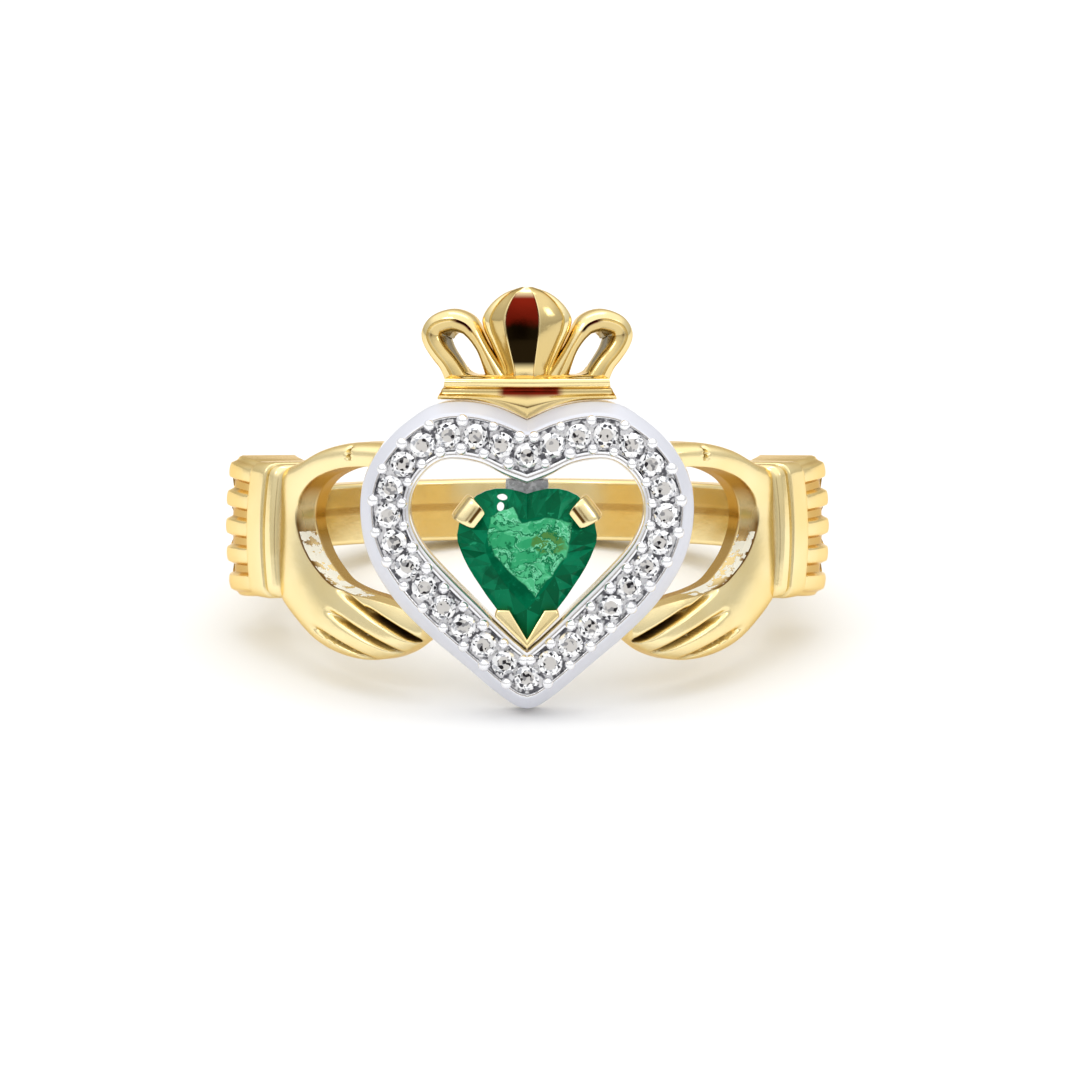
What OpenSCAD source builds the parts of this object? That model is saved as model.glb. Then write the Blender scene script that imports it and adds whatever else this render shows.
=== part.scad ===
// Claddagh ring lying on its side: two cuffed hands hold a heart of small round stones
// about a heart-cut stone, with an open crown above the heart.
// Every form is drawn with the finger axis along Z and the heart facing -Y. The whole ring
// is then tipped until the heart's tip and the back of the shank both touch the floor.

/* [Band] */
// Radius of the finger hole
bore_r = 8.5; // [7:0.05:11]
// Width of the shank along the finger
shank_w = 2.25; // [1.6:0.05:4]
// Thickness of the shank
shank_t = 1.6; // [1.1:0.05:2.1]
// Radius on the shank's two outer edges
shank_edge_r = 0.55; // [0.2:0.05:0.75]

/* [Cuffs] */
// Angle at the finger axis from the heart to the front of each cuff
cuff_angle = 59.5; // [54:0.5:66]
// Length of a cuff round the ring
cuff_l = 5.1; // [3.5:0.1:7]
// Height of a cuff along the finger
cuff_h = 5.1; // [3.6:0.1:6.5]
// Thickness of a cuff at its ruffle
cuff_t = 2.5; // [1.9:0.05:3]
// Number of pleats in a ruffle
pleats = 5; // [3:2:9]
// Depth of the grooves between the pleats
pleat_depth = 0.24; // [0.1:0.02:0.4]
// Radius along the long edges of the plain rims
rim_edge_r = 0.4; // [0.2:0.05:0.8]
// Height by which a cuff is domed along the finger
cuff_dome = 0.2; // [0:0.02:0.4]

/* [Hands] */
// Height of the thumbs above the middle of the ring
thumb_up = 3.3; // [2.8:0.1:4.2]
// Reach of the fingers below the middle of the ring
finger_down = 4.4; // [3.6:0.1:5]
// Thickness of a hand at its palm
hand_t = 1.7; // [1.4:0.05:2]
// Thickness left along the edges of a hand
hand_edge_t = 0.75; // [0.5:0.05:1]
// Depth of the grooves between the fingers
finger_groove = 0.42; // [0.15:0.02:0.5]
// Width of the grooves between the fingers
finger_groove_w = 0.24; // [0.16:0.02:0.5]

/* [Heart] */
// Width across the heart's two lobes
halo_w = 11.75; // [10:0.05:14]
// Height of the heart from its tip to the top of its lobes
halo_h = 10.85; // [9.5:0.05:13]
// Height of the heart's tip below the middle of the ring
halo_drop = 5.95; // [5.4:0.05:7]
// Width of the metal round the heart
halo_band = 1.84; // [1.6:0.02:2.3]
// Thickness of the metal round the heart
halo_t = 1.95; // [1.5:0.05:2.6]
// Space between the finger hole and the back of the heart
halo_rise = 0.7; // [0.5:0.05:1.5]
// Number of round stones in the row
stone_count = 30; // [26:1:34]
// Space between two neighbouring round stones
stone_gap = 0.07; // [0.05:0.01:0.2]
// Radius of the beads that hold the round stones
bead_r = 0.19; // [0.12:0.01:0.24]

/* [Heart-cut stone] */
// Width of the heart-cut stone as a share of the opening in the heart
gem_fill_w = 0.603; // [0.5:0.001:0.65]
// Length of the heart-cut stone as a share of the opening in the heart
gem_fill_h = 0.931; // [0.85:0.001:0.945]
// Space below the stone's tip as a share of the opening in the heart
gem_foot = 0.043; // [0.03:0.001:0.05]
// Depth of the stone below its girdle
gem_pavilion = 1.55; // [1.2:0.05:1.7]
// Height of the stone's table above its girdle
gem_table_t = 0.8; // [0.5:0.05:1.2]
// Thickness of the girdle
gem_girdle_t = 0.12; // [0.06:0.02:0.3]
// Height of the girdle above the back of the heart
gem_lift = 1.5; // [1.3:0.05:2]
// Thickness of the claws
claw_t = 0.36; // [0.25:0.02:0.5]
// Width of a claw over a lobe of the stone
claw_w = 1; // [0.7:0.05:1.3]
// Width of the tip guard across its two arms
guard_w = 2.26; // [1.8:0.02:2.4]
// Height of the tip guard
guard_h = 1.39; // [1:0.01:1.5]
// Width of the bridge between the heart and the basket
bridge_w = 1.5; // [0.8:0.05:2]

/* [Crown] */
// Width of the crown across its side loops
crown_w = 8.3; // [6:0.1:8.6]
// Height of the crown above its bar
crown_h = 3.2; // [2.6:0.1:4.2]
// Width of the crown's bar
bar_w = 6.35; // [5:0.05:7.5]
// Height of the crown's bar
bar_h = 0.86; // [0.6:0.02:1.2]
// Thickness of the crown's bar
bar_t = 1.5; // [1:0.05:1.9]
// Thickness of the side loops, front to back
loop_t = 1.4; // [0.9:0.05:1.6]
// Width of the metal round the side loops
loop_w = 0.7; // [0.5:0.02:0.8]
// Width of the middle petal
petal_w = 3.3; // [2.4:0.05:3.6]
// Thickness of the middle petal
petal_t = 1.55; // [1:0.05:2]

/* [Fit] */
// Space between neighbouring pieces
gap = 0.03; // [0.02:0.01:0.06]

/* [Hidden] */
yellow_gold = [0.86, 0.66, 0.3];
white_gold = [0.87, 0.87, 0.89];
green_stone = [0.03, 0.42, 0.26, 0.9];
clear_stone = [0.93, 0.95, 0.98, 0.8];

$fn = 64;
halo_d = bore_r + halo_rise;      // front distance of the heart's back face
halo_top = halo_h - halo_drop;    // height of the lobes
cuff_r = bore_r + cuff_t;
shank_r = bore_r + shank_t;

// The heart's outline: x as a share of half the width, z as a share of the height,
// the direction towards the inner outline, and the metal's width there as a share.
//            x     z    turn  band
heart_rows = [
  [0.000, 0.940, 270, 1.22],
  [0.180, 0.982, 263, 1.32],
  [0.370, 1.000, 254, 1.25],
  [0.550, 0.990, 245, 1.16],
  [0.690, 0.946, 235, 1.00],
  [0.820, 0.885, 224, 0.96],
  [0.930, 0.805, 211, 0.97],
  [0.990, 0.715, 196, 0.99],
  [0.998, 0.620, 182, 1.00],
  [0.965, 0.522, 170, 1.06],
  [0.890, 0.430, 163, 1.15],
  [0.755, 0.328, 151, 1.17],
  [0.575, 0.232, 141, 1.13],
  [0.385, 0.145, 128, 1.06],
  [0.205, 0.062, 112, 1.09],
  [0.075, 0.012, 98, 1.17],
  [0.000, 0.000, 90, 1.17]
];

// Section of the metal round the heart: inward share of the width, share of the thickness.
//             in    up
halo_section = [
  [0.00, 0.00],
  [0.01, 0.40],
  [0.19, 0.88],
  [0.25, 0.93],
  [0.34, 0.95],
  [0.545, 0.98],
  [0.74, 0.95],
  [0.85, 0.94],
  [0.97, 0.92],
  [1.00, 0.82],
  [1.00, 0.00]
];
stone_line = 0.545;               // where the row of stones runs across that section
stone_face = 0.98;

// The heart-cut stone's outline: x as a share of half the width, z as a share of the length.
//             x     z
gem_rows = [
  [0.00, 0.966],
  [0.20, 0.992],
  [0.45, 1.000],
  [0.72, 0.956],
  [0.91, 0.854],
  [1.00, 0.700],
  [0.96, 0.611],
  [0.84, 0.490],
  [0.66, 0.361],
  [0.44, 0.222],
  [0.00, 0.000]
];

// The tip guard from its lower point round one arm to its inner point: x as a share of half
// its width, z as a share of its height.
//              x     z
guard_rows = [
  [0.00, 0.00],
  [1.00, 0.82],
  [0.93, 1.00],
  [0.53, 1.00],
  [0.00, 0.24]
];

// A cuff from its front edge to its back edge: share of the length, of the height, of the
// thickness, and of the pleats' depth.
//             at   height thick pleat
cuff_rows = [
  [0.00, 0.90, 0.79, 0.0],
  [0.02, 0.93, 0.84, 0.0],
  [0.09, 0.94, 0.85, 0.0],
  [0.11, 0.91, 0.78, 0.0],
  [0.14, 0.91, 0.78, 0.0],
  [0.16, 0.95, 0.86, 0.0],
  [0.20, 0.96, 0.89, 0.0],
  [0.36, 0.96, 0.91, 0.0],
  [0.39, 0.95, 0.89, 0.0],
  [0.41, 0.95, 0.90, 0.8],
  [0.55, 0.97, 0.94, 1.0],
  [0.85, 1.00, 1.00, 1.1],
  [0.96, 0.99, 0.98, 1.1],
  [1.00, 0.96, 0.93, 0.9]
];

// A hand from its thumb round the palm to its fingertips: the outer edge and the edge at
// the gap, each as a share of the cuff's angle and of the reach up or down, then the thickness.
//            outer        gap
//            turn  up     turn  up    thick
hand_rows = [
  [0.45, 0.96, 0.49, 0.74, 0.94],
  [0.54, 1.00, 0.60, 0.745, 0.97],
  [0.67, 1.00, 0.705, 0.71, 1.00],
  [0.795, 0.93, 0.805, 0.61, 1.00],
  [0.92, 0.79, 0.87, 0.48, 1.00],
  [1.10, 0.62, 0.905, 0.33, 1.00],
  [1.20, 0.30, 0.915, 0.18, 1.00],
  [1.22, -0.05, 0.905, 0.04, 1.00],
  [1.18, -0.35, 0.885, -0.06, 1.00],
  [1.08, -0.57, 0.85, -0.17, 1.00],
  [0.96, -0.75, 0.80, -0.275, 1.00],
  [0.84, -0.90, 0.735, -0.38, 1.00],
  [0.71, -0.985, 0.645, -0.445, 0.99],
  [0.58, -1.00, 0.55, -0.49, 0.96],
  [0.46, -0.93, 0.455, -0.555, 0.87],
  [0.38, -0.82, 0.37, -0.66, 0.75]
];

// Grooves between the fingers, from the palm to the tips: each end as shares of the cuff's
// angle and of the reach down, then the depth.
//              start         end
//              turn  down    turn  down   depth
groove_rows = [
  [0.83, 0.74, 0.58, 0.99, 1.0],
  [0.75, 0.60, 0.47, 0.93, 1.0],
  [0.60, 0.56, 0.40, 0.83, 1.2],
  [0.71, 0.42, 0.56, 0.66, 0.4]
];

// A side loop of the crown, from the bar up round the outside and back to the petal's foot:
// x as a share of half the crown's width, z as a share of its height, then width, thickness,
// and how far the wall of the hole slopes in towards the back.
//            x     z    width thick slope
loop_rows = [
  [0.61, -0.08, 1.35, 0.90, 0.0],
  [0.655, 0.04, 1.20, 0.92, 0.0],
  [0.70, 0.135, 1.10, 0.94, 0.0],
  [0.77, 0.245, 1.07, 0.97, 0.2],
  [0.825, 0.36, 1.08, 1.00, 0.5],
  [0.838, 0.455, 1.12, 1.00, 0.8],
  [0.785, 0.55, 1.15, 1.00, 0.9],
  [0.66, 0.595, 1.18, 1.00, 0.4],
  [0.545, 0.555, 1.10, 1.00, 0.0],
  [0.48, 0.475, 0.95, 0.98, 0.0],
  [0.425, 0.37, 0.82, 0.94, 0.0],
  [0.367, 0.235, 0.82, 0.90, 0.0],
  [0.25, -0.08, 1.22, 0.86, 0.0]
];

// The middle petal from its foot to its top: z as a share of the crown's height, half
// width as a share of half the petal's width, then the thickness.
//              z    width thick
petal_rows = [
  [-0.08, 0.56, 0.66],
  [0.05, 0.58, 0.70],
  [0.16, 0.66, 0.80],
  [0.28, 0.77, 0.90],
  [0.39, 0.87, 0.97],
  [0.50, 0.97, 1.00],
  [0.63, 1.00, 1.00],
  [0.78, 0.81, 0.92],
  [0.90, 0.50, 0.76],
  [0.965, 0.13, 0.50]
];

// The crown's bar from its lower edge to its bead: z as a share of its height, how far the
// face stands out as a share of its thickness, and the half width as a share.
//              z     out   width
bar_rows = [
  [0.00, -0.06, 1.00],
  [0.10, 0.00, 0.99],
  [0.16, -0.02, 0.98],
  [0.24, -0.08, 0.965],
  [0.42, -0.08, 0.955],
  [0.49, -0.01, 0.90],
  [0.56, 0.06, 0.90],
  [0.72, 0.09, 0.905],
  [0.86, 0.04, 0.90],
  [0.93, -0.05, 0.885],
  [1.00, -0.10, 0.87]
];

// Section of the petal: x as a share of its half width, depth as a share of its thickness.
//               x     deep
petal_section = [
  [-0.36, 0.62],
  [-0.84, 0.42],
  [-1.00, 0.10],
  [-0.90, -0.25],
  [-0.40, -0.38],
  [0.40, -0.38],
  [0.90, -0.25],
  [1.00, 0.10],
  [0.84, 0.42],
  [0.36, 0.62]
];

// ---- shared functions ----

// Point at a radius, a turn from the front and a height.
function round_pt(r, turn, z) = [r * sin(turn), -r * cos(turn), z];
// Point at a distance across, a distance in front of the finger axis and a height.
function front_pt(x, d, z) = [x, -d, z];
function mix(a, b, t) = a + (b - a) * t;
function sum(v, i = 0) = i < len(v) ? v[i] + sum(v, i + 1) : 0;
function arc_turn(l, r) = l / r * 180 / PI;

// Smooth curve through rows, with n steps between two rows.
function curve_pt(a, b, c, d, t) =
  0.5 * (2 * b + (c - a) * t + (2 * a - 5 * b + 4 * c - d) * t * t + (3 * b - a - 3 * c + d) * t * t * t);
function curve(rows, n) =
  let (m = len(rows) - 1)
  [for (i = [0 : m]) for (k = [0 : i < m ? n - 1 : 0])
    curve_pt(rows[max(i - 1, 0)], rows[i], rows[min(i + 1, m)], rows[min(i + 2, m)], k / n)];

// Closed surface over equal loops. The first loop's end is closed by the triangles in cap,
// or else by a fan about the loop's last point, and the last loop's end by the same, reversed.
module skin(loops, ring = false, cap = undef) {
  n = len(loops[0]);
  m = len(loops);
  walls = [for (i = [0 : m - (ring ? 1 : 2)]) for (j = [0 : n - 1])
    let (k = (i + 1) % m, l = (j + 1) % n)
    each [[i * n + j, i * n + l, k * n + l], [i * n + j, k * n + l, k * n + j]]];
  end = is_undef(cap) ? [for (j = [0 : n - 3]) [n - 1, j + 1, j]] : cap;
  far = (m - 1) * n;
  caps = ring ? [] : [for (f = end) each [f, [far + f[0], far + f[2], far + f[1]]]];
  polyhedron(points = [for (l = loops) each l], faces = concat(walls, caps), convexity = 8);
}

// ---- band ----

module shank() {
  half = shank_w / 2;
  start = cuff_angle + arc_turn(cuff_l, cuff_r) * 0.6;
  rotate([0, 0, start - 90])
    rotate_extrude(angle = 360 - 2 * start, $fn = 180)
      difference() {
        translate([bore_r - shank_t / 2, -half]) square([shank_t * 1.5, shank_w]);
        for (s = [-1, 1])
          translate([shank_r - shank_edge_r, s * (half - shank_edge_r)])
            difference() {
              translate([0, s > 0 ? 0 : -2 * shank_edge_r]) square(2 * shank_edge_r);
              circle(r = shank_edge_r);
            }
      }
}

// Loss of radius at height z for a rounded long edge.
function edge_drop(z, half) =
  let (over = max(0, abs(z) - half + rim_edge_r))
  rim_edge_r - sqrt(max(0, rim_edge_r * rim_edge_r - over * over));

cuff_lean = -1.7;                 // turn of a cuff's ends for each bore radius up the finger
// Steps across one pleat, as shares of it: half a groove, a lobe and half the next groove.
pleat_steps = [0, 0.15, 0.26, 0.5, 0.74, 0.85];
function pleat_fold(f) =
  1 - max(0, min(1, (0.5 - abs(f - 0.5) - 0.15) / 0.11)) * (1 - 0.6 * pow(2 * f - 1, 2));
module cuff() {
  fine = len(pleat_steps);
  steps = fine * pleats;
  // Each pleat of an end face is a fan from the point below where the pleat starts.
  cap = [for (p = [0 : pleats - 1])
    let (hub = steps + 1 + pleats - p)
    each concat([for (k = [0 : fine - 1]) [hub, p * fine + k + 1, p * fine + k]],
      [[hub, hub - 1, (p + 1) * fine]])];
  skin([for (row = cuff_rows)
    let (half = cuff_h / 2 * row[1], turn = cuff_angle + arc_turn(cuff_l, cuff_r) * row[0])
    concat(
      [for (k = [0 : steps])
        let (f = k < steps ? pleat_steps[k % fine] : 0,
             share = (floor(k / fine) + f) / pleats * 2 - 1,
             z = half * share,
             fold = row[3] * pleat_depth * pleat_fold(k % fine == 0 ? 0 : f),
             drop = row[3] > 0 ? 0 : edge_drop(z, half),
             r = bore_r + cuff_t * row[2] - fold - drop - cuff_dome * share * share)
        round_pt(r, turn + cuff_lean * z / bore_r, z)],
      [for (p = [pleats : -1 : 0])
        let (z = half * (2 * p / pleats - 1))
        round_pt(bore_r - cuff_t * 0.24, turn + cuff_lean * z / bore_r, z)])], cap = cap);
}

function reach(s) = s * (s > 0 ? thumb_up : finger_down);
// Depth of the finger grooves at a point of the hand.
function groove_at(turn, z) =
  sum([for (g = groove_rows)
    let (r = bore_r + hand_t,
         p = [turn * PI / 180 * r, z],
         a = [g[0] * cuff_angle * PI / 180 * r, -g[1] * finger_down],
         b = [g[2] * cuff_angle * PI / 180 * r, -g[3] * finger_down],
         t = (p - a) * (b - a) / ((b - a) * (b - a)),
         near = a + (b - a) * min(1.2, max(0, t)),
         off = norm(p - near) / finger_groove_w,
         fade = min(1, max(0, t * 3)))
    g[4] * fade * exp(-off * off)]) * finger_groove;

// Height of the hand across it: a rounded back up to the palm's edge, then a bevel to the gap.
palm_edge = 0.965;
function swell(s) =
  s < 0.5 ? sqrt(max(0, 1 - pow(1 - 2 * s, 3)))
  : s < palm_edge ? 1 - 0.14 * pow((s - 0.5) / (palm_edge - 0.5), 2)
  : 0.86 * (1 - s) / (1 - palm_edge);
hand_steps = [0, 0.012, 0.05, 0.11, 0.18, 0.25, 0.32, 0.4, 0.48, 0.56, 0.64, 0.72, 0.8, 0.9, 0.965, 1];

module hand() {
  rows = curve(hand_rows, 4);
  fingers = 40;                   // the rows from here on are all used
  skin([for (i = [0 : len(rows) - 1]) if (i > fingers || i % 2 == 0)
    let (row = rows[i], turn_a = row[0] * cuff_angle, z_a = reach(row[1]),
         turn_b = row[2] * cuff_angle, z_b = reach(row[3]), full = hand_t * row[4])
    concat(
      [for (k = [len(hand_steps) - 1 : -1 : 0])
        let (s = hand_steps[k], turn = mix(turn_a, turn_b, s), z = mix(z_a, z_b, s),
             thick = mix(min(hand_edge_t, full), full, swell(s)))
        round_pt(bore_r + thick - groove_at(turn, z) * swell(s), turn, z)],
      [round_pt(hand_root, turn_a, z_a),
        round_pt(hand_root, mix(turn_b, straight_in(turn_b), 0.4), z_b)])]);
}
// Turn at the finger hole of a wall that starts at a hand's edge and runs straight back.
function straight_in(turn) = asin(min(0.99, (bore_r + hand_edge_t) / hand_root * sin(turn)));
hand_root = bore_r - hand_t * 0.24; // the hands' solids reach into the finger hole before it is cut

module band() {
  color(yellow_gold)
    difference() {
      union() {
        shank();
        for (side = [0, 1])
          mirror([side, 0, 0]) {
            cuff();
            hand();
          }
      }
      cylinder(r = bore_r, h = 4 * finger_down, center = true, $fn = 180);
    }
}

// ---- heart ----

// One side of the heart as pairs of outer and inner points.
function heart_side(n) =
  [for (row = curve(heart_rows, n))
    let (out = [row[0] * halo_w / 2, row[1] * halo_h - halo_drop],
         width = halo_band * row[3])
    [out, out + width * [cos(row[2]), sin(row[2])]]];
function flip(p) = [-p[0], p[1]];
// The whole heart, from the cleft down the right side to the tip and up the left.
function heart_pairs(n) =
  let (side = heart_side(n), m = len(side) - 1)
  concat([for (i = [0 : m]) side[i]], [for (i = [m - 1 : -1 : 1]) [flip(side[i][0]), flip(side[i][1])]]);

// Points along a line that runs at a share across the metal, from the tip round the heart.
function heart_line(share, n) =
  let (pairs = heart_pairs(n), m = len(pairs), tip = m / 2)
  [for (i = [0 : m]) let (p = pairs[(i + tip) % m]) mix(p[0], p[1], share)];
function lengths(line, i = 0, done = [0]) =
  i >= len(line) - 1 ? done : lengths(line, i + 1, concat(done, [done[i] + norm(line[i + 1] - line[i])]));
function at_length(line, run, l) =
  let (i = max([for (k = [0 : len(run) - 2]) if (run[k] <= l) k]))
  mix(line[i], line[i + 1], (l - run[i]) / (run[i + 1] - run[i]));

row_line = heart_line(stone_line, 6);
row_run = lengths(row_line);
row_length = row_run[len(row_run) - 1];
stone_pitch = row_length / stone_count;
stone_r = (stone_pitch - stone_gap) / 2;
stone_d = halo_d + halo_t * (stone_face - 0.05);   // front distance of the stones' girdles
stone_depth = 0.86 * stone_r;
stone_table = 0.3 * stone_r;
function row_pt(l) = at_length(row_line, row_run, (l + row_length) % row_length);

// Turns a shape that is drawn up the Z axis so that it faces the front at p.
module face_front(p, d) {
  translate(front_pt(p[0], d, p[1])) rotate([90, 0, 0]) children();
}

module stone_seats() {
  for (i = [0 : stone_count - 1])
    face_front(row_pt(i * stone_pitch), stone_d)
      rotate_extrude()
        polygon([
          [0, -gap * 2 - stone_depth], [stone_r * 0.35, -gap * 2 - stone_depth],
          [stone_r * 0.35, -gap - stone_depth * 0.75], [stone_r + gap, -gap],
          [stone_r + gap, halo_t], [0, halo_t]]);
}

module beads() {
  for (i = [0 : stone_count - 1])
    let (l = (i + 0.5) * stone_pitch, p = row_pt(l),
         way = row_pt(l + stone_r * 0.2) - row_pt(l - stone_r * 0.2),
         out = [way[1], -way[0]] / norm(way),
         off = sqrt(pow(stone_r + gap * 2 + bead_r, 2) - pow(stone_pitch / 2, 2)))
      for (s = [-1, 1]) face_front(p + out * s * off, stone_d + bead_r * 0.3) sphere(r = bead_r, $fn = 32);
}

module heart_halo() {
  color(white_gold)
    difference() {
      union() {
        skin([for (pair = heart_pairs(3))
          [for (k = [len(halo_section) - 1 : -1 : 0])
            let (s = halo_section[k], p = mix(pair[0], pair[1], s[0]))
            front_pt(p[0], halo_d + halo_t * s[1], p[1])]], ring = true);
        beads();
        bridge();
      }
      stone_seats();
    }
}

// Small bar from the heart's inner dip to the basket under the stone.
module bridge() {
  foot = max([for (p = gem_ring(1, basket_out, gem_d)) p[2]]) + gap;
  translate([-bridge_w / 2, -halo_d - halo_t * 0.55, foot])
    cube([bridge_w, halo_t * 0.42, opening_top - foot + halo_band * 0.08]);
}

module diamond(i) {
  color(clear_stone)
    face_front(row_pt((i - 1) * stone_pitch), stone_d) {
      cylinder(r1 = stone_r, r2 = stone_r * 0.58, h = stone_table, $fn = 8);
      translate([0, 0, -stone_depth]) cylinder(r1 = stone_r * 0.045, r2 = stone_r, h = stone_depth, $fn = 8);
    }
}

// ---- heart-cut stone and its setting ----

gem_d = halo_d + gem_lift;        // front distance of the stone's girdle
// The opening inside the heart, which the stone fills by its shares.
opening = [for (p = heart_side(1)) p[1]];
opening_top = opening[0][1];
opening_tip = opening[len(opening) - 1][1];
gem_w = gem_fill_w * 2 * max([for (p = opening) p[0]]);
gem_h = gem_fill_h * (opening_top - opening_tip);
gem_drop = -opening_tip - gem_foot * (opening_top - opening_tip);
function gem_side(n) = [for (row = curve(gem_rows, n)) [row[0] * gem_w / 2, row[1] * gem_h]];
function gem_loop(n) =
  let (side = gem_side(n), m = len(side) - 1)
  concat([for (i = [0 : m]) side[i]], [for (i = [m - 1 : -1 : 1]) flip(side[i])]);
gem_mid = [0, 0.56 * gem_h];
// The outline drawn in towards its middle by a share, at a distance from the finger axis.
function gem_ring(n, share, d, grow = 0) =
  [for (p = gem_loop(n))
    let (q = mix(gem_mid, p, share), way = (q - gem_mid) / norm(q - gem_mid))
    front_pt(q[0] + grow * way[0], d, q[1] + grow * way[1] - gem_drop)];

module gem_form(n, grow = 0) {
  rings = [
    gem_ring(n, 0.12, gem_d - gem_pavilion - grow, grow),
    gem_ring(n, 0.62, gem_d - gem_pavilion * 0.5 - grow, grow),
    gem_ring(n, 1, gem_d - grow, grow),
    gem_ring(n, 1, gem_d + gem_girdle_t + grow, grow),
    gem_ring(n, 0.8, gem_d + gem_table_t * 0.7 + grow, grow),
    gem_ring(n, 0.6, gem_d + gem_table_t + grow, grow)];
  k = len(rings[0]);
  points = concat([for (r = rings) each r],
    [front_pt(0, gem_d - gem_pavilion - grow, gem_mid[1] - gem_drop),
      front_pt(0, gem_d + gem_table_t + grow, gem_mid[1] - gem_drop)]);
  low = len(points) - 2;
  polyhedron(points = points, faces = concat(
    [for (i = [0 : len(rings) - 2]) for (j = [0 : k - 1])
      let (l = (j + 1) % k)
      each [[i * k + j, i * k + l, (i + 1) * k + l], [i * k + j, (i + 1) * k + l, (i + 1) * k + j]]],
    [for (j = [0 : k - 1]) [low, (j + 1) % k, j]],
    [for (j = [0 : k - 1]) [low + 1, (len(rings) - 1) * k + j, (len(rings) - 1) * k + (j + 1) % k]]),
    convexity = 6);
}

module emerald() {
  color(green_stone) gem_form(1);
}

// Basket under the stone, the two folded claws and the tip guard.
basket_out = 0.88;                // the basket's walls as shares of the stone's outline
basket_in = 0.7;
basket_top = gem_d - gem_pavilion * 0.3;
guard_face = gem_d + gem_table_t * 0.78;

module basket() {
  outer = gem_ring(1, basket_out, basket_top);
  inner = gem_ring(1, basket_in, basket_top);
  drop = [0, basket_top - halo_d - gem_lift * 0.1, 0];
  skin([for (j = [0 : len(outer) - 1]) [outer[j], outer[j] + drop, inner[j] + drop, inner[j]]],
    ring = true);
}

// A claw rises beside a lobe and folds over the stone's edge towards its middle.
claw_at = [0.86, 0.86];           // where the claws stand on the stone's outline
module claw(side) {
  foot = [side * claw_at[0] * gem_w / 2, claw_at[1] * gem_h];
  way = (gem_mid - foot) / norm(gem_mid - foot);
  translate(front_pt(foot[0], gem_d, foot[1] - gem_drop))
    rotate([90, 0, 0]) rotate([0, 0, atan2(way[1], way[0])]) {
    hull() {
      translate([-claw_t * 0.4, 0, gem_table_t * 0.31]) claw_pad(claw_t * 0.8, claw_w);
      translate([claw_w * 0.5, 0, -gem_pavilion * 0.55]) claw_pad(claw_t * 0.8, claw_w * 0.6);
    }
    hull() {
      translate([-claw_t * 0.4, 0, gem_table_t * 0.31]) claw_pad(claw_t * 0.8, claw_w);
      translate([claw_w * 0.1, 0, gem_table_t * 0.78]) claw_pad(claw_t, claw_w * 0.9);
    }
    hull() {
      translate([claw_w * 0.1, 0, gem_table_t * 0.78]) claw_pad(claw_t, claw_w * 0.9);
      translate([claw_w * 0.42, 0, gem_table_t * 0.8]) claw_pad(claw_t * 0.8, claw_w * 0.7);
    }
  }
}
module claw_pad(t, w) {
  scale([t / 2, w / 2, t / 2]) sphere(r = 1, $fn = 16);
}

// The guard stands in the heart's inner tip and folds over the stone's two lower edges. Under
// the stone it is closed between its arms, where it joins the basket.
module guard() {
  arm = [for (row = guard_rows) [row[0] * guard_w / 2, row[1] * guard_h + opening_tip + gap * 1.5]];
  other = [for (i = [len(arm) - 2 : -1 : 1]) flip(arm[i])];
  back = halo_d + gem_lift * 0.2;
  rotate([90, 0, 0]) translate([0, 0, back]) {
    linear_extrude(guard_face - back) polygon(concat(arm, other));
    linear_extrude(basket_top - back) polygon(concat([for (i = [0 : len(arm) - 2]) arm[i]], other));
  }
}

module emerald_setting() {
  color(yellow_gold)
    difference() {
      union() {
        basket();
        claw(-1);
        claw(1);
        intersection() {
          guard();
          heart_hole();
        }
      }
      gem_form(1, gap);
    }
}

// The opening inside the heart, less the space between pieces.
module heart_hole() {
  side = [for (p = heart_side(2)) p[1]];
  m = len(side) - 1;
  rotate([90, 0, 0]) linear_extrude(2 * halo_d)
    polygon([for (p = concat(side, [for (i = [m - 1 : -1 : 1]) flip(side[i])]))
      p * (1 - gap / norm(p))]);
}

// ---- crown ----

crown_z = halo_top + gap;         // height of the bar's lower edge
crown_r = halo_d + halo_t * 0.52; // front distance of the bar's face
// Height of the bar's lower edge at x: it dips into the heart's cleft between the lobes.
cleft = [for (i = [0 : 8]) let (p = heart_side(4)[i][0]) [p[0], p[1] + gap]];
function bar_foot(x) = min(crown_z, lookup(abs(x), cleft));
// Only the bar's lower lip follows that dip; above it the bar runs straight.
bar_lip = bar_rows[3][0];
function bar_up(x, share) =
  mix(share < bar_lip ? bar_foot(x) : crown_z, crown_z, min(1, share / bar_lip)) + bar_h * share;

module bar() {
  n = 14;
  skin([for (i = [-n : n])
    let (s = i / n)
    concat(
      [for (row = bar_rows)
        let (half = bar_w / 2 * row[2])
        crown_pt(s * half, crown_r + bar_t * row[1], bar_up(s * half, row[0]))],
      [crown_pt(s * bar_w / 2 * bar_rows[len(bar_rows) - 1][2], crown_r - bar_t, crown_z + bar_h),
        crown_pt(s * bar_w / 2, crown_r - bar_t, bar_foot(s * bar_w / 2))])]);
}

function crown_pt(x, d, z) = let (turn = asin(x / crown_r)) round_pt(d, turn, z);

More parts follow.
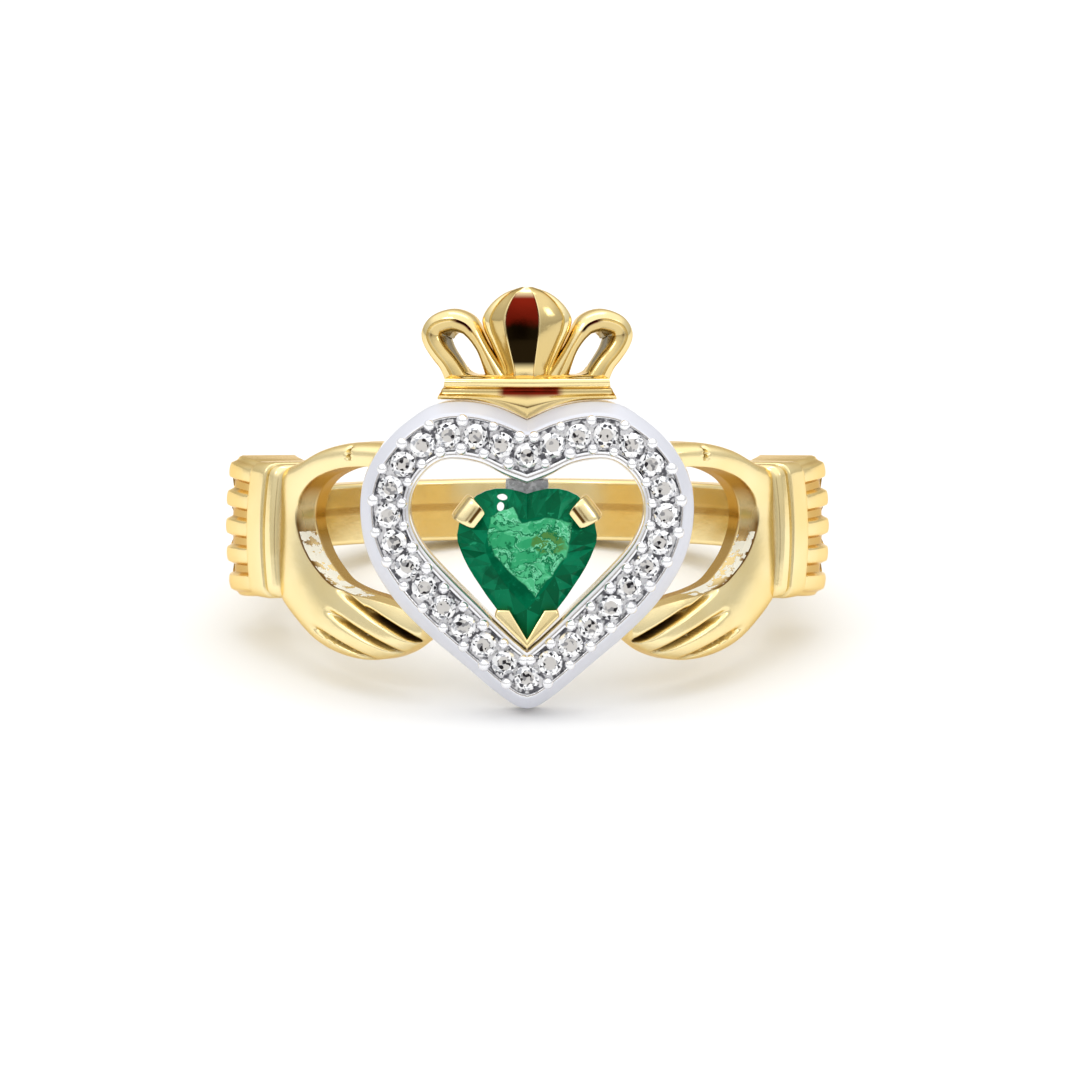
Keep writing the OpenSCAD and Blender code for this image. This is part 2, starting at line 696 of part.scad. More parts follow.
module crown_loop() {
  rows = curve(loop_rows, 3);
  m = len(rows) - 1;
  mid = crown_r - bar_t / 2;
  skin([for (i = [0 : m])
    let (row = rows[i], a = rows[max(i - 1, 0)], b = rows[min(i + 1, m)],
         p = [row[0] * crown_w / 2, crown_z + bar_h + row[1] * crown_h],
         way = [(b[0] - a[0]) * crown_w / 2, (b[1] - a[1]) * crown_h],
         side = [way[1], -way[0]] / norm(way),
         half = loop_w * row[2] / 2, deep = loop_t * row[3] / 2)
    [for (k = [0 : 11])
      let (c = cos(30 * k), s = sin(30 * k), slope = c < -0.1 ? row[4] * max(0, 0.4 - s) / 1.4 : 0,
           q = p + side * half * (sign(c) * pow(abs(c), 0.7) - slope))
      crown_pt(q[0], mid + deep * sign(s) * pow(abs(s), 0.7), q[1])]]);
}

module petal() {
  mid = crown_r - bar_t / 2;
  skin([for (row = curve(petal_rows, 2))
    let (half = petal_w / 2 * row[1], deep = petal_t * row[2], z = crown_z + bar_h + row[0] * crown_h)
    [for (q = petal_section) crown_pt(half * q[0], mid + deep * q[1], z)]]);
}

module crown() {
  color(yellow_gold)
    union() {
      bar();
      petal();
      crown_loop();
      mirror([1, 0, 0]) crown_loop();
    }
}

// ---- lying on the floor ----

// The ring tips about the heart's lower back edge until the shank's rounded edge touches.
edge_y = shank_r - shank_edge_r;
edge_z = -shank_w / 2 + shank_edge_r;
rest = [edge_y + halo_d, edge_z + halo_drop];
tilt = atan2(rest[1], rest[0]) - asin(shank_edge_r / norm(rest));
lift = halo_drop * cos(tilt) - halo_d * sin(tilt);
front_y = -(halo_d + halo_t * 0.9) * cos(tilt) - halo_drop * sin(tilt);
back_y = shank_r * cos(tilt) + (shank_w / 2 - shank_edge_r) * sin(tilt);

module laid() {
  translate([0, -(front_y + back_y) / 2, lift]) rotate([-tilt, 0, 0]) children();
}

function stone_name(i) = str("diamond_", i < 10 ? "0" : "", i);

laid() band();
laid() heart_halo();
laid() crown();
laid() emerald_setting();
laid() emerald();
for (i = [1 : stone_count])
  laid() diamond(i);
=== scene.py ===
"""Claddagh ring lying on its side: cuffed hands, a heart of small stones, a green heart stone and a crown.

Every form is worked out in the ring's own frame, in millimetres: the finger axis along Z and the heart
towards -Y. laid() then tips it onto the floor, in metres, where the frame's solids lie.
"""
import math

import bmesh
import bpy
import numpy as np
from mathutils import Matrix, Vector


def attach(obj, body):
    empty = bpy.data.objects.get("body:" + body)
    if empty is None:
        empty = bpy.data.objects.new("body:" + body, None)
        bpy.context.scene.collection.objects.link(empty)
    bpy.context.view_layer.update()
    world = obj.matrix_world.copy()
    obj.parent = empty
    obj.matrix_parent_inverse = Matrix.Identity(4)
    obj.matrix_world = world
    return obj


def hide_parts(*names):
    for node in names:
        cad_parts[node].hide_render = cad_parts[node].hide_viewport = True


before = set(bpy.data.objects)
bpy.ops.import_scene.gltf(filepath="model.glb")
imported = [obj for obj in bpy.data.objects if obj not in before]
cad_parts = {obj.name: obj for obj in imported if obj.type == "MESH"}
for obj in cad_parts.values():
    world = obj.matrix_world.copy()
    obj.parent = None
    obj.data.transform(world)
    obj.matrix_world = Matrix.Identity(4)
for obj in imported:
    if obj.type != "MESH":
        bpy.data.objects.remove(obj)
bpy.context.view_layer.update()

# ---- sizes, as in the ring's drawing
bore_r = 8.5
shank_w, shank_t, shank_edge_r = 2.25, 1.6, 0.55
cuff_angle, cuff_l, cuff_h, cuff_t = 59.5, 5.1, 5.1, 2.5
pleats, pleat_depth, rim_edge_r, cuff_dome, cuff_lean = 5, 0.24, 0.4, 0.2, -1.7
thumb_up, finger_down, hand_t, hand_edge_t = 3.3, 4.4, 1.7, 0.75
finger_groove, finger_groove_w, palm_edge = 0.42, 0.2, 0.965
halo_w, halo_h, halo_drop, halo_band, halo_t, halo_rise = 11.75, 10.85, 5.95, 1.84, 1.95, 0.7
stone_count, stone_gap, bead_r = 30, 0.07, 0.19
gem_fill_w, gem_fill_h, gem_foot = 0.603, 0.931, 0.043
gem_pavilion, gem_table_t, gem_girdle_t, gem_lift = 1.55, 0.8, 0.12, 1.5
claw_w, guard_w, guard_h, bridge_w = 1.0, 2.26, 1.39, 1.5
crown_w, crown_h, bar_w, bar_h, bar_t, loop_t, loop_w = 8.3, 3.2, 6.35, 0.86, 1.5, 1.4, 0.7
petal_w, petal_t = 3.3, 1.55
gap = 0.03

halo_d = bore_r + halo_rise
halo_top = halo_h - halo_drop
shank_r = bore_r + shank_t
cuff_turn = math.degrees(cuff_l / (bore_r + cuff_t))
gem_d = halo_d + gem_lift

# Heart: x share of half the width, z share of the height, direction inwards, width of the metal.
heart_rows = [
    (0, 0.94, 270, 1.22), (0.18, 0.982, 263, 1.32), (0.37, 1, 254, 1.25), (0.55, 0.99, 245, 1.16),
    (0.69, 0.946, 235, 1), (0.82, 0.885, 224, 0.96), (0.93, 0.805, 211, 0.97), (0.99, 0.715, 196, 0.99),
    (0.998, 0.62, 182, 1), (0.965, 0.522, 170, 1.06), (0.89, 0.43, 163, 1.15), (0.755, 0.328, 151, 1.17),
    (0.575, 0.232, 141, 1.13), (0.385, 0.145, 128, 1.06), (0.205, 0.062, 112, 1.09),
    (0.075, 0.012, 98, 1.17), (0, 0, 90, 1.17),
]
# Section of the heart's metal: inward share, share of the thickness, and how far it lies in the channel.
halo_section = [
    (0, 0, 0), (0, 0.1, 0), (0.006, 0.46, 0), (0.014, 0.56, 0), (0.032, 0.62, 0), (0.165, 0.86, 0),
    (0.185, 0.895, 0), (0.205, 0.915, 0), (0.225, 0.925, 0), (0.25, 0.925, 0), (0.265, 0.905, 0.5),
    (0.285, 0.87, 1), (0.33, 0.865, 1), (0.44, 0.875, 1), (0.545, 0.88, 1), (0.65, 0.875, 1),
    (0.765, 0.865, 1), (0.815, 0.87, 1), (0.832, 0.905, 0.5), (0.845, 0.935, 0), (0.865, 0.945, 0),
    (0.9, 0.948, 0), (0.95, 0.935, 0), (0.975, 0.905, 0), (0.99, 0.86, 0), (1, 0.79, 0), (1, 0.4, 0),
    (1, 0, 0),
]
stone_line, stone_face = 0.545, 0.98
# Heart-cut stone: x share of half the width, z share of the length.
gem_rows = [
    (0, 0.966), (0.2, 0.992), (0.45, 1), (0.72, 0.956), (0.91, 0.854), (1, 0.7), (0.96, 0.611),
    (0.84, 0.49), (0.66, 0.361), (0.44, 0.222), (0, 0),
]
# Tip guard from its lower point round one arm: x share of half the width, z share of the height.
guard_rows = [(0, 0), (1, 0.82), (0.93, 1), (0.53, 1), (0, 0.24)]
# Cuff from its front edge: share of the length, of the height, of the thickness, of the pleats' depth.
cuff_rows = [
    (0, 0.88, 0.72, 0), (0.012, 0.91, 0.78, 0), (0.035, 0.93, 0.83, 0), (0.098, 0.94, 0.85, 0),
    (0.108, 0.92, 0.8, 0), (0.13, 0.92, 0.8, 0), (0.14, 0.95, 0.88, 0), (0.2, 0.96, 0.89, 0),
    (0.36, 0.96, 0.91, 0), (0.39, 0.95, 0.89, 0), (0.41, 0.95, 0.9, 0.8), (0.55, 0.97, 0.94, 1),
    (0.85, 1, 1, 1.1), (0.96, 0.99, 0.98, 1.1), (1, 0.96, 0.93, 0.9),
]
# Hand: outer edge and gap edge as shares of the cuff's angle and of the reach, then the thickness.
hand_rows = [
    (0.45, 0.96, 0.49, 0.74, 0.94), (0.54, 1, 0.6, 0.745, 0.97), (0.67, 1, 0.705, 0.71, 1),
    (0.795, 0.93, 0.805, 0.61, 1), (0.92, 0.79, 0.87, 0.48, 1), (1.1, 0.62, 0.905, 0.33, 1),
    (1.2, 0.3, 0.915, 0.18, 1), (1.22, -0.05, 0.905, 0.04, 1), (1.18, -0.35, 0.885, -0.06, 1),
    (1.08, -0.57, 0.85, -0.17, 1), (0.96, -0.75, 0.8, -0.275, 1), (0.84, -0.9, 0.735, -0.38, 1),
    (0.71, -0.985, 0.645, -0.445, 0.99), (0.58, -1, 0.55, -0.49, 0.96), (0.46, -0.93, 0.455, -0.555, 0.87),
    (0.38, -0.82, 0.37, -0.66, 0.75),
]
# Grooves between the fingers: start and end as shares of the cuff's angle and the reach down, depth, width.
groove_rows = [
    (0.83, 0.74, 0.58, 0.99, 0.7, 0.45), (0.75, 0.6, 0.47, 0.93, 0.9, 0.5),
    (0.6, 0.56, 0.42, 0.8, 1.5, 0.52), (0.71, 0.42, 0.46, 0.76, 0.8, 0.42),
    (0.645, -0.74, 0.645, -0.64, 0.7, 0.24),
]
# Crown loop: x share of half the crown's width, z share of its height, shares of the width and thickness,
# slope of the hole's wall.
loop_steps = 10
loop_rows = [
    (0.61, -0.08, 1.35, 0.9, 0), (0.655, 0.04, 1.2, 0.92, 0), (0.7, 0.135, 1.1, 0.94, 0),
    (0.77, 0.245, 1.07, 0.97, 0.2), (0.825, 0.36, 1.08, 1, 0.5), (0.838, 0.455, 1.12, 1, 0.8),
    (0.785, 0.55, 1.15, 1, 0.9), (0.66, 0.595, 1.18, 1, 0.4), (0.545, 0.555, 1.1, 1, 0),
    (0.48, 0.475, 0.95, 0.98, 0), (0.425, 0.37, 0.82, 0.94, 0), (0.367, 0.235, 0.82, 0.9, 0),
    (0.25, -0.08, 1.22, 0.86, 0),
]
# Petal: z share of the crown's height, share of half the petal's width, thickness.
petal_rows = [
    (-0.08, 0.56, 0.66), (0.05, 0.58, 0.7), (0.16, 0.66, 0.8), (0.28, 0.77, 0.9), (0.39, 0.87, 0.97),
    (0.5, 0.97, 1), (0.63, 1, 1), (0.78, 0.81, 0.92), (0.9, 0.5, 0.76), (0.965, 0.13, 0.5),
]
# Bar: z share of its height, how far its face stands out (share of the thickness), share of half the width.
bar_rows = [
    (0, -0.06, 1), (0.1, 0, 0.99), (0.16, -0.02, 0.98), (0.24, -0.08, 0.965), (0.42, -0.08, 0.955),
    (0.49, -0.01, 0.9), (0.56, 0.06, 0.9), (0.72, 0.09, 0.905), (0.86, 0.04, 0.9), (0.93, -0.05, 0.885),
    (1, -0.1, 0.87),
]


# ---- points, curves and skins
def mix(a, b, t):
    return a + (b - a) * t


def columns(*values):
    """Values side by side, one row for each point; a single one serves every row."""
    return np.stack(np.broadcast_arrays(*(np.asarray(value, float) for value in values)), -1)


def fade(value, start, end):
    """0 up to the start, 1 from the end on, straight between them; the end may lie below the start."""
    return np.clip((value - start) / (end - start), 0, 1)


def unit(vectors):
    return vectors / np.linalg.norm(vectors, axis=-1, keepdims=True)


def beside(ways):
    """Flat directions turned a quarter clockwise, each one long."""
    return unit(columns(ways[:, 1], -ways[:, 0]))


def round_pt(r, turn, z):
    """Points at a radius, a turn from the front in degrees and a height."""
    turn = np.radians(turn)
    return columns(r * np.sin(turn), -r * np.cos(turn), z)


def front_pt(x, d, z):
    """Points across, in front of the finger axis and up."""
    return columns(x, -d, z)


def curve(rows, n):
    """Smooth rows, with n steps between two given ones."""
    rows = np.array(rows, float)
    last = len(rows) - 1
    t = (np.arange(n) / n)[:, None]
    runs = []
    for i in range(last):
        a, b, c, d = rows[max(i - 1, 0)], rows[i], rows[i + 1], rows[min(i + 2, last)]
        runs.append(0.5 * (2 * b + (c - a) * t + (2 * a - 5 * b + 4 * c - d) * t**2
                           + (3 * b - a - 3 * c + d) * t**3))
    return np.concatenate(runs + [rows[last:]])


def steps(rows, n):
    """Straight rows, with n steps between two given ones."""
    rows = np.array(rows, float)
    at = np.arange((len(rows) - 1) * n + 1) / n
    return columns(*(np.interp(at, np.arange(len(rows)), column) for column in rows.T))


def rounded(rows, share=0.22, times=2):
    """Rows with their corners cut off again and again, so that flats stay flat."""
    rows = np.array(rows, float)
    for _ in range(times):
        cut = np.stack([mix(rows[:-1], rows[1:], share), mix(rows[1:], rows[:-1], share)], 1)
        cut = cut.reshape(-1, rows.shape[1])
        rows = np.concatenate([rows[:1], cut[1:-1], rows[-1:]])
    return rows


def loft(loops, ring=False, ends="fan"):
    """Points and faces of a closed surface over equal closed loops."""
    loops = np.array(loops, float)
    m, n = loops.shape[:2]
    points = loops.reshape(-1, 3)
    i, j = np.meshgrid(np.arange(m if ring else m - 1), np.arange(n), indexing="ij")
    k, l = (i + 1) % m, (j + 1) % n
    faces = np.stack([i * n + j, i * n + l, k * n + l, k * n + j], -1).reshape(-1, 4).tolist()
    far = (m - 1) * n
    if not ring and ends == "flat":
        faces += [list(range(n))[::-1], list(range(far, far + n))]
    elif not ring:
        points = np.concatenate([points, [loops[0].mean(0), loops[-1].mean(0)]])
        faces += [[m * n, (a + 1) % n, a] for a in range(n)]
        faces += [[m * n + 1, far + a, far + (a + 1) % n] for a in range(n)]
    return points, faces


def marked(loops, **marks):
    """A closed surface over loops with marks for its points; the two points that close it have none."""
    return loft(loops), {name: np.append(values, [0, 0]) for name, values in marks.items()}


def inset(outline, amount):
    """An outline that runs anticlockwise, drawn in by an amount."""
    a, b = -beside(outline - np.roll(outline, 1, 0)), -beside(np.roll(outline, -1, 0) - outline)
    return outline + (a + b) / (1 + (a * b).sum(1))[:, None] * amount


def join(*parts):
    points, faces, start = [], [], 0
    for part_points, part_faces in parts:
        points.append(part_points)
        faces += [[v + start for v in face] for face in part_faces]
        start += len(part_points)
    return np.concatenate(points), faces


def mirrored(part):
    points, faces = part
    return points * [-1, 1, 1], [face[::-1] for face in faces]


def merged(pieces):
    """Parts with their marks as one; where a part lacks a mark, it is 0."""
    names = dict.fromkeys(name for _, marks in pieces for name in marks)
    return join(*(part for part, _ in pieces)), {
        name: np.concatenate([marks.get(name, np.zeros(len(part[0]))) for part, marks in pieces])
        for name in names}


def paired(part, marks):
    """A part with its mirrored twin, and the marks for both."""
    return merged([(part, marks), (mirrored(part), marks)])


edge_y, edge_z = shank_r - shank_edge_r, -shank_w / 2 + shank_edge_r
rest = (edge_y + halo_d, edge_z + halo_drop)
tilt = math.atan2(rest[1], rest[0]) - math.asin(shank_edge_r / math.hypot(*rest))
lift = halo_drop * math.cos(tilt) - halo_d * math.sin(tilt)
front_y = -(halo_d + halo_t * 0.9) * math.cos(tilt) - halo_drop * math.sin(tilt)
back_y = shank_r * math.cos(tilt) + (shank_w / 2 - shank_edge_r) * math.sin(tilt)
turned = np.array([[1, 0, 0], [0, math.cos(tilt), math.sin(tilt)], [0, -math.sin(tilt), math.cos(tilt)]])


def laid(points):
    """Ring frame in millimetres to the floor's frame in metres."""
    return (np.asarray(points, float) @ turned.T + [0, -(front_y + back_y) / 2, lift]) / 1000


# ---- nodes for finishes and for repeated forms
class Wire:
    """A node's output that takes part in Python sums; each operator adds a Math node."""

    def __init__(self, graph, socket):
        self.graph, self.socket = graph, socket

    def pick(self, name):
        return Wire(self.graph, self.socket.node.outputs[name])

    def between(self, low, high):
        """0 below low, 1 above high, smooth between them."""
        inputs = {"Value": self, "From Min": low, "From Max": high}
        return self.graph.add("ShaderNodeMapRange", inputs, interpolation_type="SMOOTHSTEP")


def operator(operation, swapped=False):
    return lambda *terms: terms[0].graph.sum(operation, *(terms[::-1] if swapped else terms))


for operator_name, maths in (("add", "ADD"), ("sub", "SUBTRACT"), ("mul", "MULTIPLY"), ("truediv", "DIVIDE"),
                             ("mod", "FLOORED_MODULO"), ("abs", "ABSOLUTE")):
    setattr(Wire, f"__{operator_name}__", operator(maths))
for operator_name, maths in (("add", "ADD"), ("sub", "SUBTRACT"), ("mul", "MULTIPLY")):
    setattr(Wire, f"__r{operator_name}__", operator(maths, operator_name == "sub"))


class Graph:
    """A node tree that is filled by one method, add."""

    def __init__(self, tree):
        self.tree = tree

    def add(self, kind, inputs=None, out=0, **settings):
        node = self.tree.nodes.new(kind)
        for name, value in settings.items():
            setattr(node, name, value)
        for name, value in (inputs or {}).items():
            socket = node.inputs[name]
            if isinstance(value, Wire):
                self.tree.links.new(value.socket, socket)
            else:
                socket.default_value = (*value, 1) if socket.type == "RGBA" else value
        return Wire(self, node.outputs[out]) if node.outputs else None

    def sum(self, operation, *values):
        return self.add("ShaderNodeMath", dict(enumerate(values)), operation=operation)

    def vector(self, operation, a, b):
        """Vector maths; the second value of a scaling is a number."""
        second = "Scale" if operation == "SCALE" else 1
        return self.add("ShaderNodeVectorMath", {0: a, second: b}, operation=operation)

    def blend(self, factor, a, b):
        """Two colours mixed by a factor."""
        return self.add("ShaderNodeMix", {0: factor, 6: a, 7: b}, out=2, data_type="RGBA")

    def place(self):
        return self.add("ShaderNodeTexCoord", out="Object")

    def noise(self, per_mm, detail=3.0, rough=0.5, vector=None, out="Fac"):
        return self.add("ShaderNodeTexNoise", {"Vector": vector or self.place(), "Scale": per_mm * 1000,
                                               "Detail": detail, "Roughness": rough}, out=out)

    def cells(self, per_mm, vector=None):
        """Space split into small cells, each with a tone by chance."""
        where = {"Vector": vector or self.place(), "Scale": per_mm * 1000}
        colour = self.add("ShaderNodeTexVoronoi", where, out="Color")
        return self.add("ShaderNodeSeparateColor", {"Color": colour})

    def shift(self, by, mm, stretch=(1, 1, 1)):
        """Object coordinates pushed about by a colour, then stretched."""
        push = self.vector("SCALE", self.vector("SUBTRACT", by, (0.5, 0.5, 0.5)), mm / 1000)
        return self.vector("MULTIPLY", self.vector("ADD", self.place(), push), stretch)

    def face(self, by, mm):
        """Millimetres across and up in the ring's frame, pushed about by a colour."""
        x = self.add("ShaderNodeSeparateXYZ", {0: self.shift(by, mm)}, out="X")
        up = x.pick("Y") * (1000 * math.sin(tilt)) + x.pick("Z") * (1000 * math.cos(tilt))
        return x * 1000, up - (lift * math.cos(tilt) - (front_y + back_y) / 2 * math.sin(tilt))

    def spot(self, face, x, z, wide, high):
        """1 inside an ellipse of the ring's front, with a soft edge."""
        a, b = (face[0] - x) / wide, (face[1] - z) / high
        return 1 - (a * a + b * b).between(0.75, 1.2)

    def within(self, face, corners):
        """How far inside straight sides a point of the ring's front lies; the corners run anticlockwise."""
        inside = 9.0
        for (ax, az), (bx, bz) in zip(corners, corners[1:] + corners[:1]):
            side = math.dist((ax, az), (bx, bz))
            nx, nz = (az - bz) / side, (bx - ax) / side
            inside = self.sum("MINIMUM", inside, face[0] * nx + face[1] * nz - (ax * nx + az * nz))
        return inside

    def bump(self, height, strength, mm):
        return self.add("ShaderNodeBump", {"Strength": strength, "Distance": mm / 1000, "Height": height})

    def shader(self, sockets):
        return self.add("ShaderNodeBsdfPrincipled", sockets)

    def store(self, geometry, name, value):
        inputs = {"Geometry": geometry, "Name": name, "Value": value}
        return self.add("GeometryNodeStoreNamedAttribute", inputs, data_type="FLOAT", domain="POINT")

    def mark(self, name):
        """A value stored on the piece's own points."""
        return self.add("ShaderNodeAttribute", out="Fac", attribute_name=name)


def finish(name, fill):
    material = bpy.data.materials.new(name)
    material.use_nodes = True
    material.node_tree.nodes.clear()
    g = Graph(material.node_tree)
    g.add("ShaderNodeOutputMaterial", {"Surface": fill(g)})
    return material


yellow_light, yellow_deep = (0.97, 0.82, 0.46), (0.93, 0.75, 0.37)
# Painted shade and dark reflections on the gold, each laid on by the mark of its name.
yellow_tones = {"hollow": (0.11, 0.05, 0.01), "khaki": (0.6, 0.44, 0.17), "wall": (0.42, 0.22, 0.05)}
yellow_edge = (0.9, 0.72, 0.45)
white_light, white_deep = (0.93, 0.93, 0.95), (0.84, 0.84, 0.87)
# Painted grey reflection for the heart's bevel and painted shade for the stones' channel.
white_bevel, white_channel = (0.7, 0.71, 0.77), (0.16, 0.16, 0.18)
clear_white = (1.0, 1.0, 1.0)


def gold(name, tint=None, rough=0.17):
    """Cast and polished gold: slow waves, fine wheel marks, and painted shade laid on by marks in its
    hollows, creases and on some faces.

    A tint gives the colour with its own touch, and how much less of a mirror the metal is there.
    """
    def fill(g):
        colour = g.blend(g.noise(0.35, detail=2).between(0.35, 0.7), yellow_light, yellow_deep)
        for mark, tone in yellow_tones.items():
            colour = g.blend(g.mark(mark), colour, tone)
        colour, dull = tint(g, colour) if tint else (colour, 0.0)
        wheel = g.noise(9, detail=4, rough=0.6)
        return g.shader({
            "Base Color": colour, "Metallic": g.sum("SUBTRACT", 1.0, dull), "Specular Tint": yellow_edge,
            "Roughness": rough + wheel * 0.06 + g.mark("hollow") * 0.15,
            "Normal": g.bump(wheel * 0.12 + g.noise(0.9, detail=2), 0.35, 0.04)})
    return finish(name, fill)


def palm_glint(g, colour):
    """Painted highlights: bright patches that break up along the palm's narrow edge."""
    patch = (g.mark("palm") * g.noise(1.7, detail=5, rough=0.62)).between(0.455, 0.48)
    return g.blend(patch, colour, (1.0, 0.98, 0.84)), patch * 0.95


def crown_shadow(g, colour):
    """Painted dark reflections, from black to red, in the petal's facet, the bar's hollow and the loops'
    grooves; a painted grey reflection on the holes' walls.
    """
    glow = (g.mark("ember") + g.noise(2.5, detail=4) * 0.5 - 0.25).between(0.3, 0.7)
    ember = g.blend(glow, (0.015, 0.009, 0.003), (0.2, 0.013, 0.005))
    colour = g.blend(g.mark("hole"), colour, (0.34, 0.33, 0.29))
    return g.blend(g.mark("shadow"), colour, ember), 0.0


yellow_gold = gold("yellow_gold_polished")
hand_gold = gold("yellow_gold_hands", palm_glint, 0.22)
crown_gold = gold("yellow_gold_crown", crown_shadow, 0.12)


def white_metal(g):
    """Rhodium white metal: a duller bevel round it in a painted grey that stands in for its reflection, and a
    rougher floor where the stones are set, with painted shade mottled by grain.
    """
    channel, bevel = g.mark("channel"), g.mark("bevel")
    grain = g.noise(4.5, detail=4)
    colour = g.blend(g.noise(0.4).between(0.35, 0.7), white_light, white_deep)
    colour = g.blend(bevel, colour, white_bevel)
    colour = g.blend(channel * grain.between(0.47, 0.56), colour, white_channel)
    height = g.noise(0.9, detail=2) + g.noise(9, detail=4) * 0.12 + channel * grain * 4
    return g.shader({
        "Base Color": colour, "Metallic": 0.85 - bevel * 0.6, "Normal": g.bump(height, 0.4, 0.04),
        "Roughness": 0.14 + channel * 0.12 + bevel * 0.25 + grain * 0.05})


white_gold = finish("white_gold_rhodium", white_metal)


def clear_stone(g):
    """Small brilliants: each facet painted bright, grey or dark, by its own tone and the stone's, standing in
    for the light the facets reflect.
    """
    tone = (g.mark("facet") + g.mark("spark") + g.cells(8.5) * 0.9) % 1
    colour = g.blend(tone.between(0.12, 0.18), (0.03, 0.03, 0.04), (0.45, 0.46, 0.49))
    colour = g.blend(tone.between(0.3, 0.4), colour, clear_white)
    return g.shader({"Base Color": colour, "Metallic": 0.5, "Roughness": 0.06, "Coat Weight": 0.5,
                     "Coat Roughness": 0.02, "Normal": g.bump(tone, 0.5, 0.03)})


diamond = finish("diamond_polished", clear_stone)


# Corners of the pale patch on the green stone's face, across and up in millimetres.
veil_form = [(0.28, -1.93), (1.43, -0.46), (1.57, 0.73), (0.6, 0.84), (-1.3, 0.52), (-1.16, -0.5)]
veil_peak = [(-1.33, -0.08), (0.04, 0.28), (-0.49, 1.29), (-1.33, 0.91)]


def green_stone(g):
    """Deep green facets round a pale, cracked patch, with an olive flaw in it and two painted glints above.
    """
    tone = g.mark("facet")
    warp = g.noise(1.3, detail=4, out="Color")
    rim = g.blend(tone.between(0.1, 0.9), (0.0, 0.095, 0.036), (0.002, 0.19, 0.082))
    streak = g.noise(2.2, detail=4, rough=0.65, vector=g.shift(warp, 0.9)).between(0.6, 0.72)
    rim = g.blend(streak * 0.8, rim, (0.02, 0.36, 0.17))
    shade = g.noise(0.8, detail=5, rough=0.6, vector=g.shift(warp, 1.5)).between(0.5, 0.62)
    rim = g.blend(shade * 0.6, rim, (0.0, 0.055, 0.022))
    chip = g.cells(1.5, g.shift(warp, 0.55))
    fine = g.noise(2.4, detail=6, rough=0.7, vector=g.shift(warp, 1.2, (1, 1, 2.2)))
    veil = g.blend(chip.between(0.25, 0.6), (0.03, 0.34, 0.14), (0.075, 0.47, 0.215))
    veil = g.blend(fine.between(0.5, 0.64), veil, (0.15, 0.62, 0.34))
    flaw = g.spot(g.face(warp, 0.9), 0.8, -0.05, 0.62, 0.48)
    veil = g.blend(flaw * fine.between(0.3, 0.45) * 0.85, veil, (0.085, 0.21, 0.035))
    ridge = g.noise(0.9, detail=5, rough=0.62, vector=g.shift(warp, 1.6, (1, 1, 2)))
    veil = g.blend(1 - abs(ridge - 0.535).between(0.006, 0.022), veil, (0.2, 0.68, 0.4))
    veil = g.blend(1 - abs(ridge - 0.5).between(0.01, 0.032), veil, (0.008, 0.17, 0.065))
    face = g.face(warp, 0.35)
    inside = g.sum("MAXIMUM", g.within(face, veil_form), g.within(face, veil_peak))
    light = inside.between(-0.02, 0.04)
    colour = g.blend(light, rim, veil)
    # Two painted glints: white spots on the upper left facets.
    face = g.face(warp, 0.15)
    glint = g.spot(face, -0.86, 1.57, 0.17, 0.1) + g.spot(face, -0.92, 1.25, 0.12, 0.15)
    colour = g.blend(glint, colour, clear_white)
    return g.shader({
        "Base Color": colour, "Roughness": 0.06, "IOR": 1.45, "Specular IOR Level": 0.05, "Metallic": 0.05,
        "Normal": g.bump(light * (fine + ridge + chip * 0.6), 0.5, 0.06)})


emerald_green = finish("emerald_polished", green_stone)


# ---- pieces
def new_mesh(name, points, faces, sharp, material=None, marks=None):
    """A mesh whose faces point outwards, smooth except where two faces meet at more than an angle."""
    mesh = bpy.data.meshes.new(name)
    mesh.from_pydata(points.tolist(), [], faces)
    for mark, values in (marks or {}).items():
        values = np.asarray(values, float)
        kind, field = ("FLOAT", "value") if values.ndim == 1 else ("FLOAT_VECTOR", "vector")
        domain = "POINT" if len(values) == len(points) else "FACE"
        mesh.attributes.new(mark, kind, domain).data.foreach_set(field, values.ravel())
    if material:
        mesh.materials.append(material)
    return tidied(mesh, sharp)


def tidied(mesh, sharp):
    form = bmesh.new()
    form.from_mesh(mesh)
    bmesh.ops.recalc_face_normals(form, faces=form.faces)
    form.to_mesh(mesh)
    form.free()
    mesh.shade_smooth()
    mesh.set_sharp_from_angle(angle=math.radians(sharp))
    return mesh


def placed(name, mesh):
    thing = bpy.data.objects.new(name, mesh)
    bpy.context.scene.collection.objects.link(thing)
    return thing


def as_piece(piece, slot, *nodes):
    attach(piece, "root")
    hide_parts(*nodes)
    return piece


def made(name, part, marks, slot, material, nodes, sharp=38):
    """A finished piece from points and faces in the ring's frame, with marks for its finish."""
    mesh = new_mesh(name, laid(part[0]), part[1], sharp, material, marks)
    return as_piece(placed(name, mesh), slot, *nodes)


def grown(name, base, inputs, fill, slot, material, nodes, sharp):
    """Runs a Geometry Nodes tree over a base mesh and keeps the result as a plain mesh."""
    tree = bpy.data.node_groups.new(name, "GeometryNodeTree")
    new_socket = tree.interface.new_socket
    new_socket("Geometry", in_out="INPUT", socket_type="NodeSocketGeometry")
    keys = {given: new_socket(given, in_out="INPUT", socket_type="NodeSocket" + kind).identifier
            for given, (kind, _) in inputs.items()}
    new_socket("Geometry", in_out="OUTPUT", socket_type="NodeSocketGeometry")
    g = Graph(tree)
    real = g.add("GeometryNodeRealizeInstances", {"Geometry": fill(g, g.add("NodeGroupInput"))})
    g.add("NodeGroupOutput", {
        "Geometry": g.add("GeometryNodeSetMaterial", {"Geometry": real, "Material": material})})
    modifier = base.modifiers.new(name, "NODES")
    modifier.node_group = tree
    for given, (_, value) in inputs.items():
        modifier[keys[given]] = value
    bpy.context.view_layer.update()
    mesh = bpy.data.meshes.new_from_object(base.evaluated_get(bpy.context.evaluated_depsgraph_get()))
    for used in [base] + [value for kind, value in inputs.values() if kind == "Object"]:
        bpy.data.objects.remove(used, do_unlink=True)
    return as_piece(placed(name, tidied(mesh, sharp)), slot, *nodes)


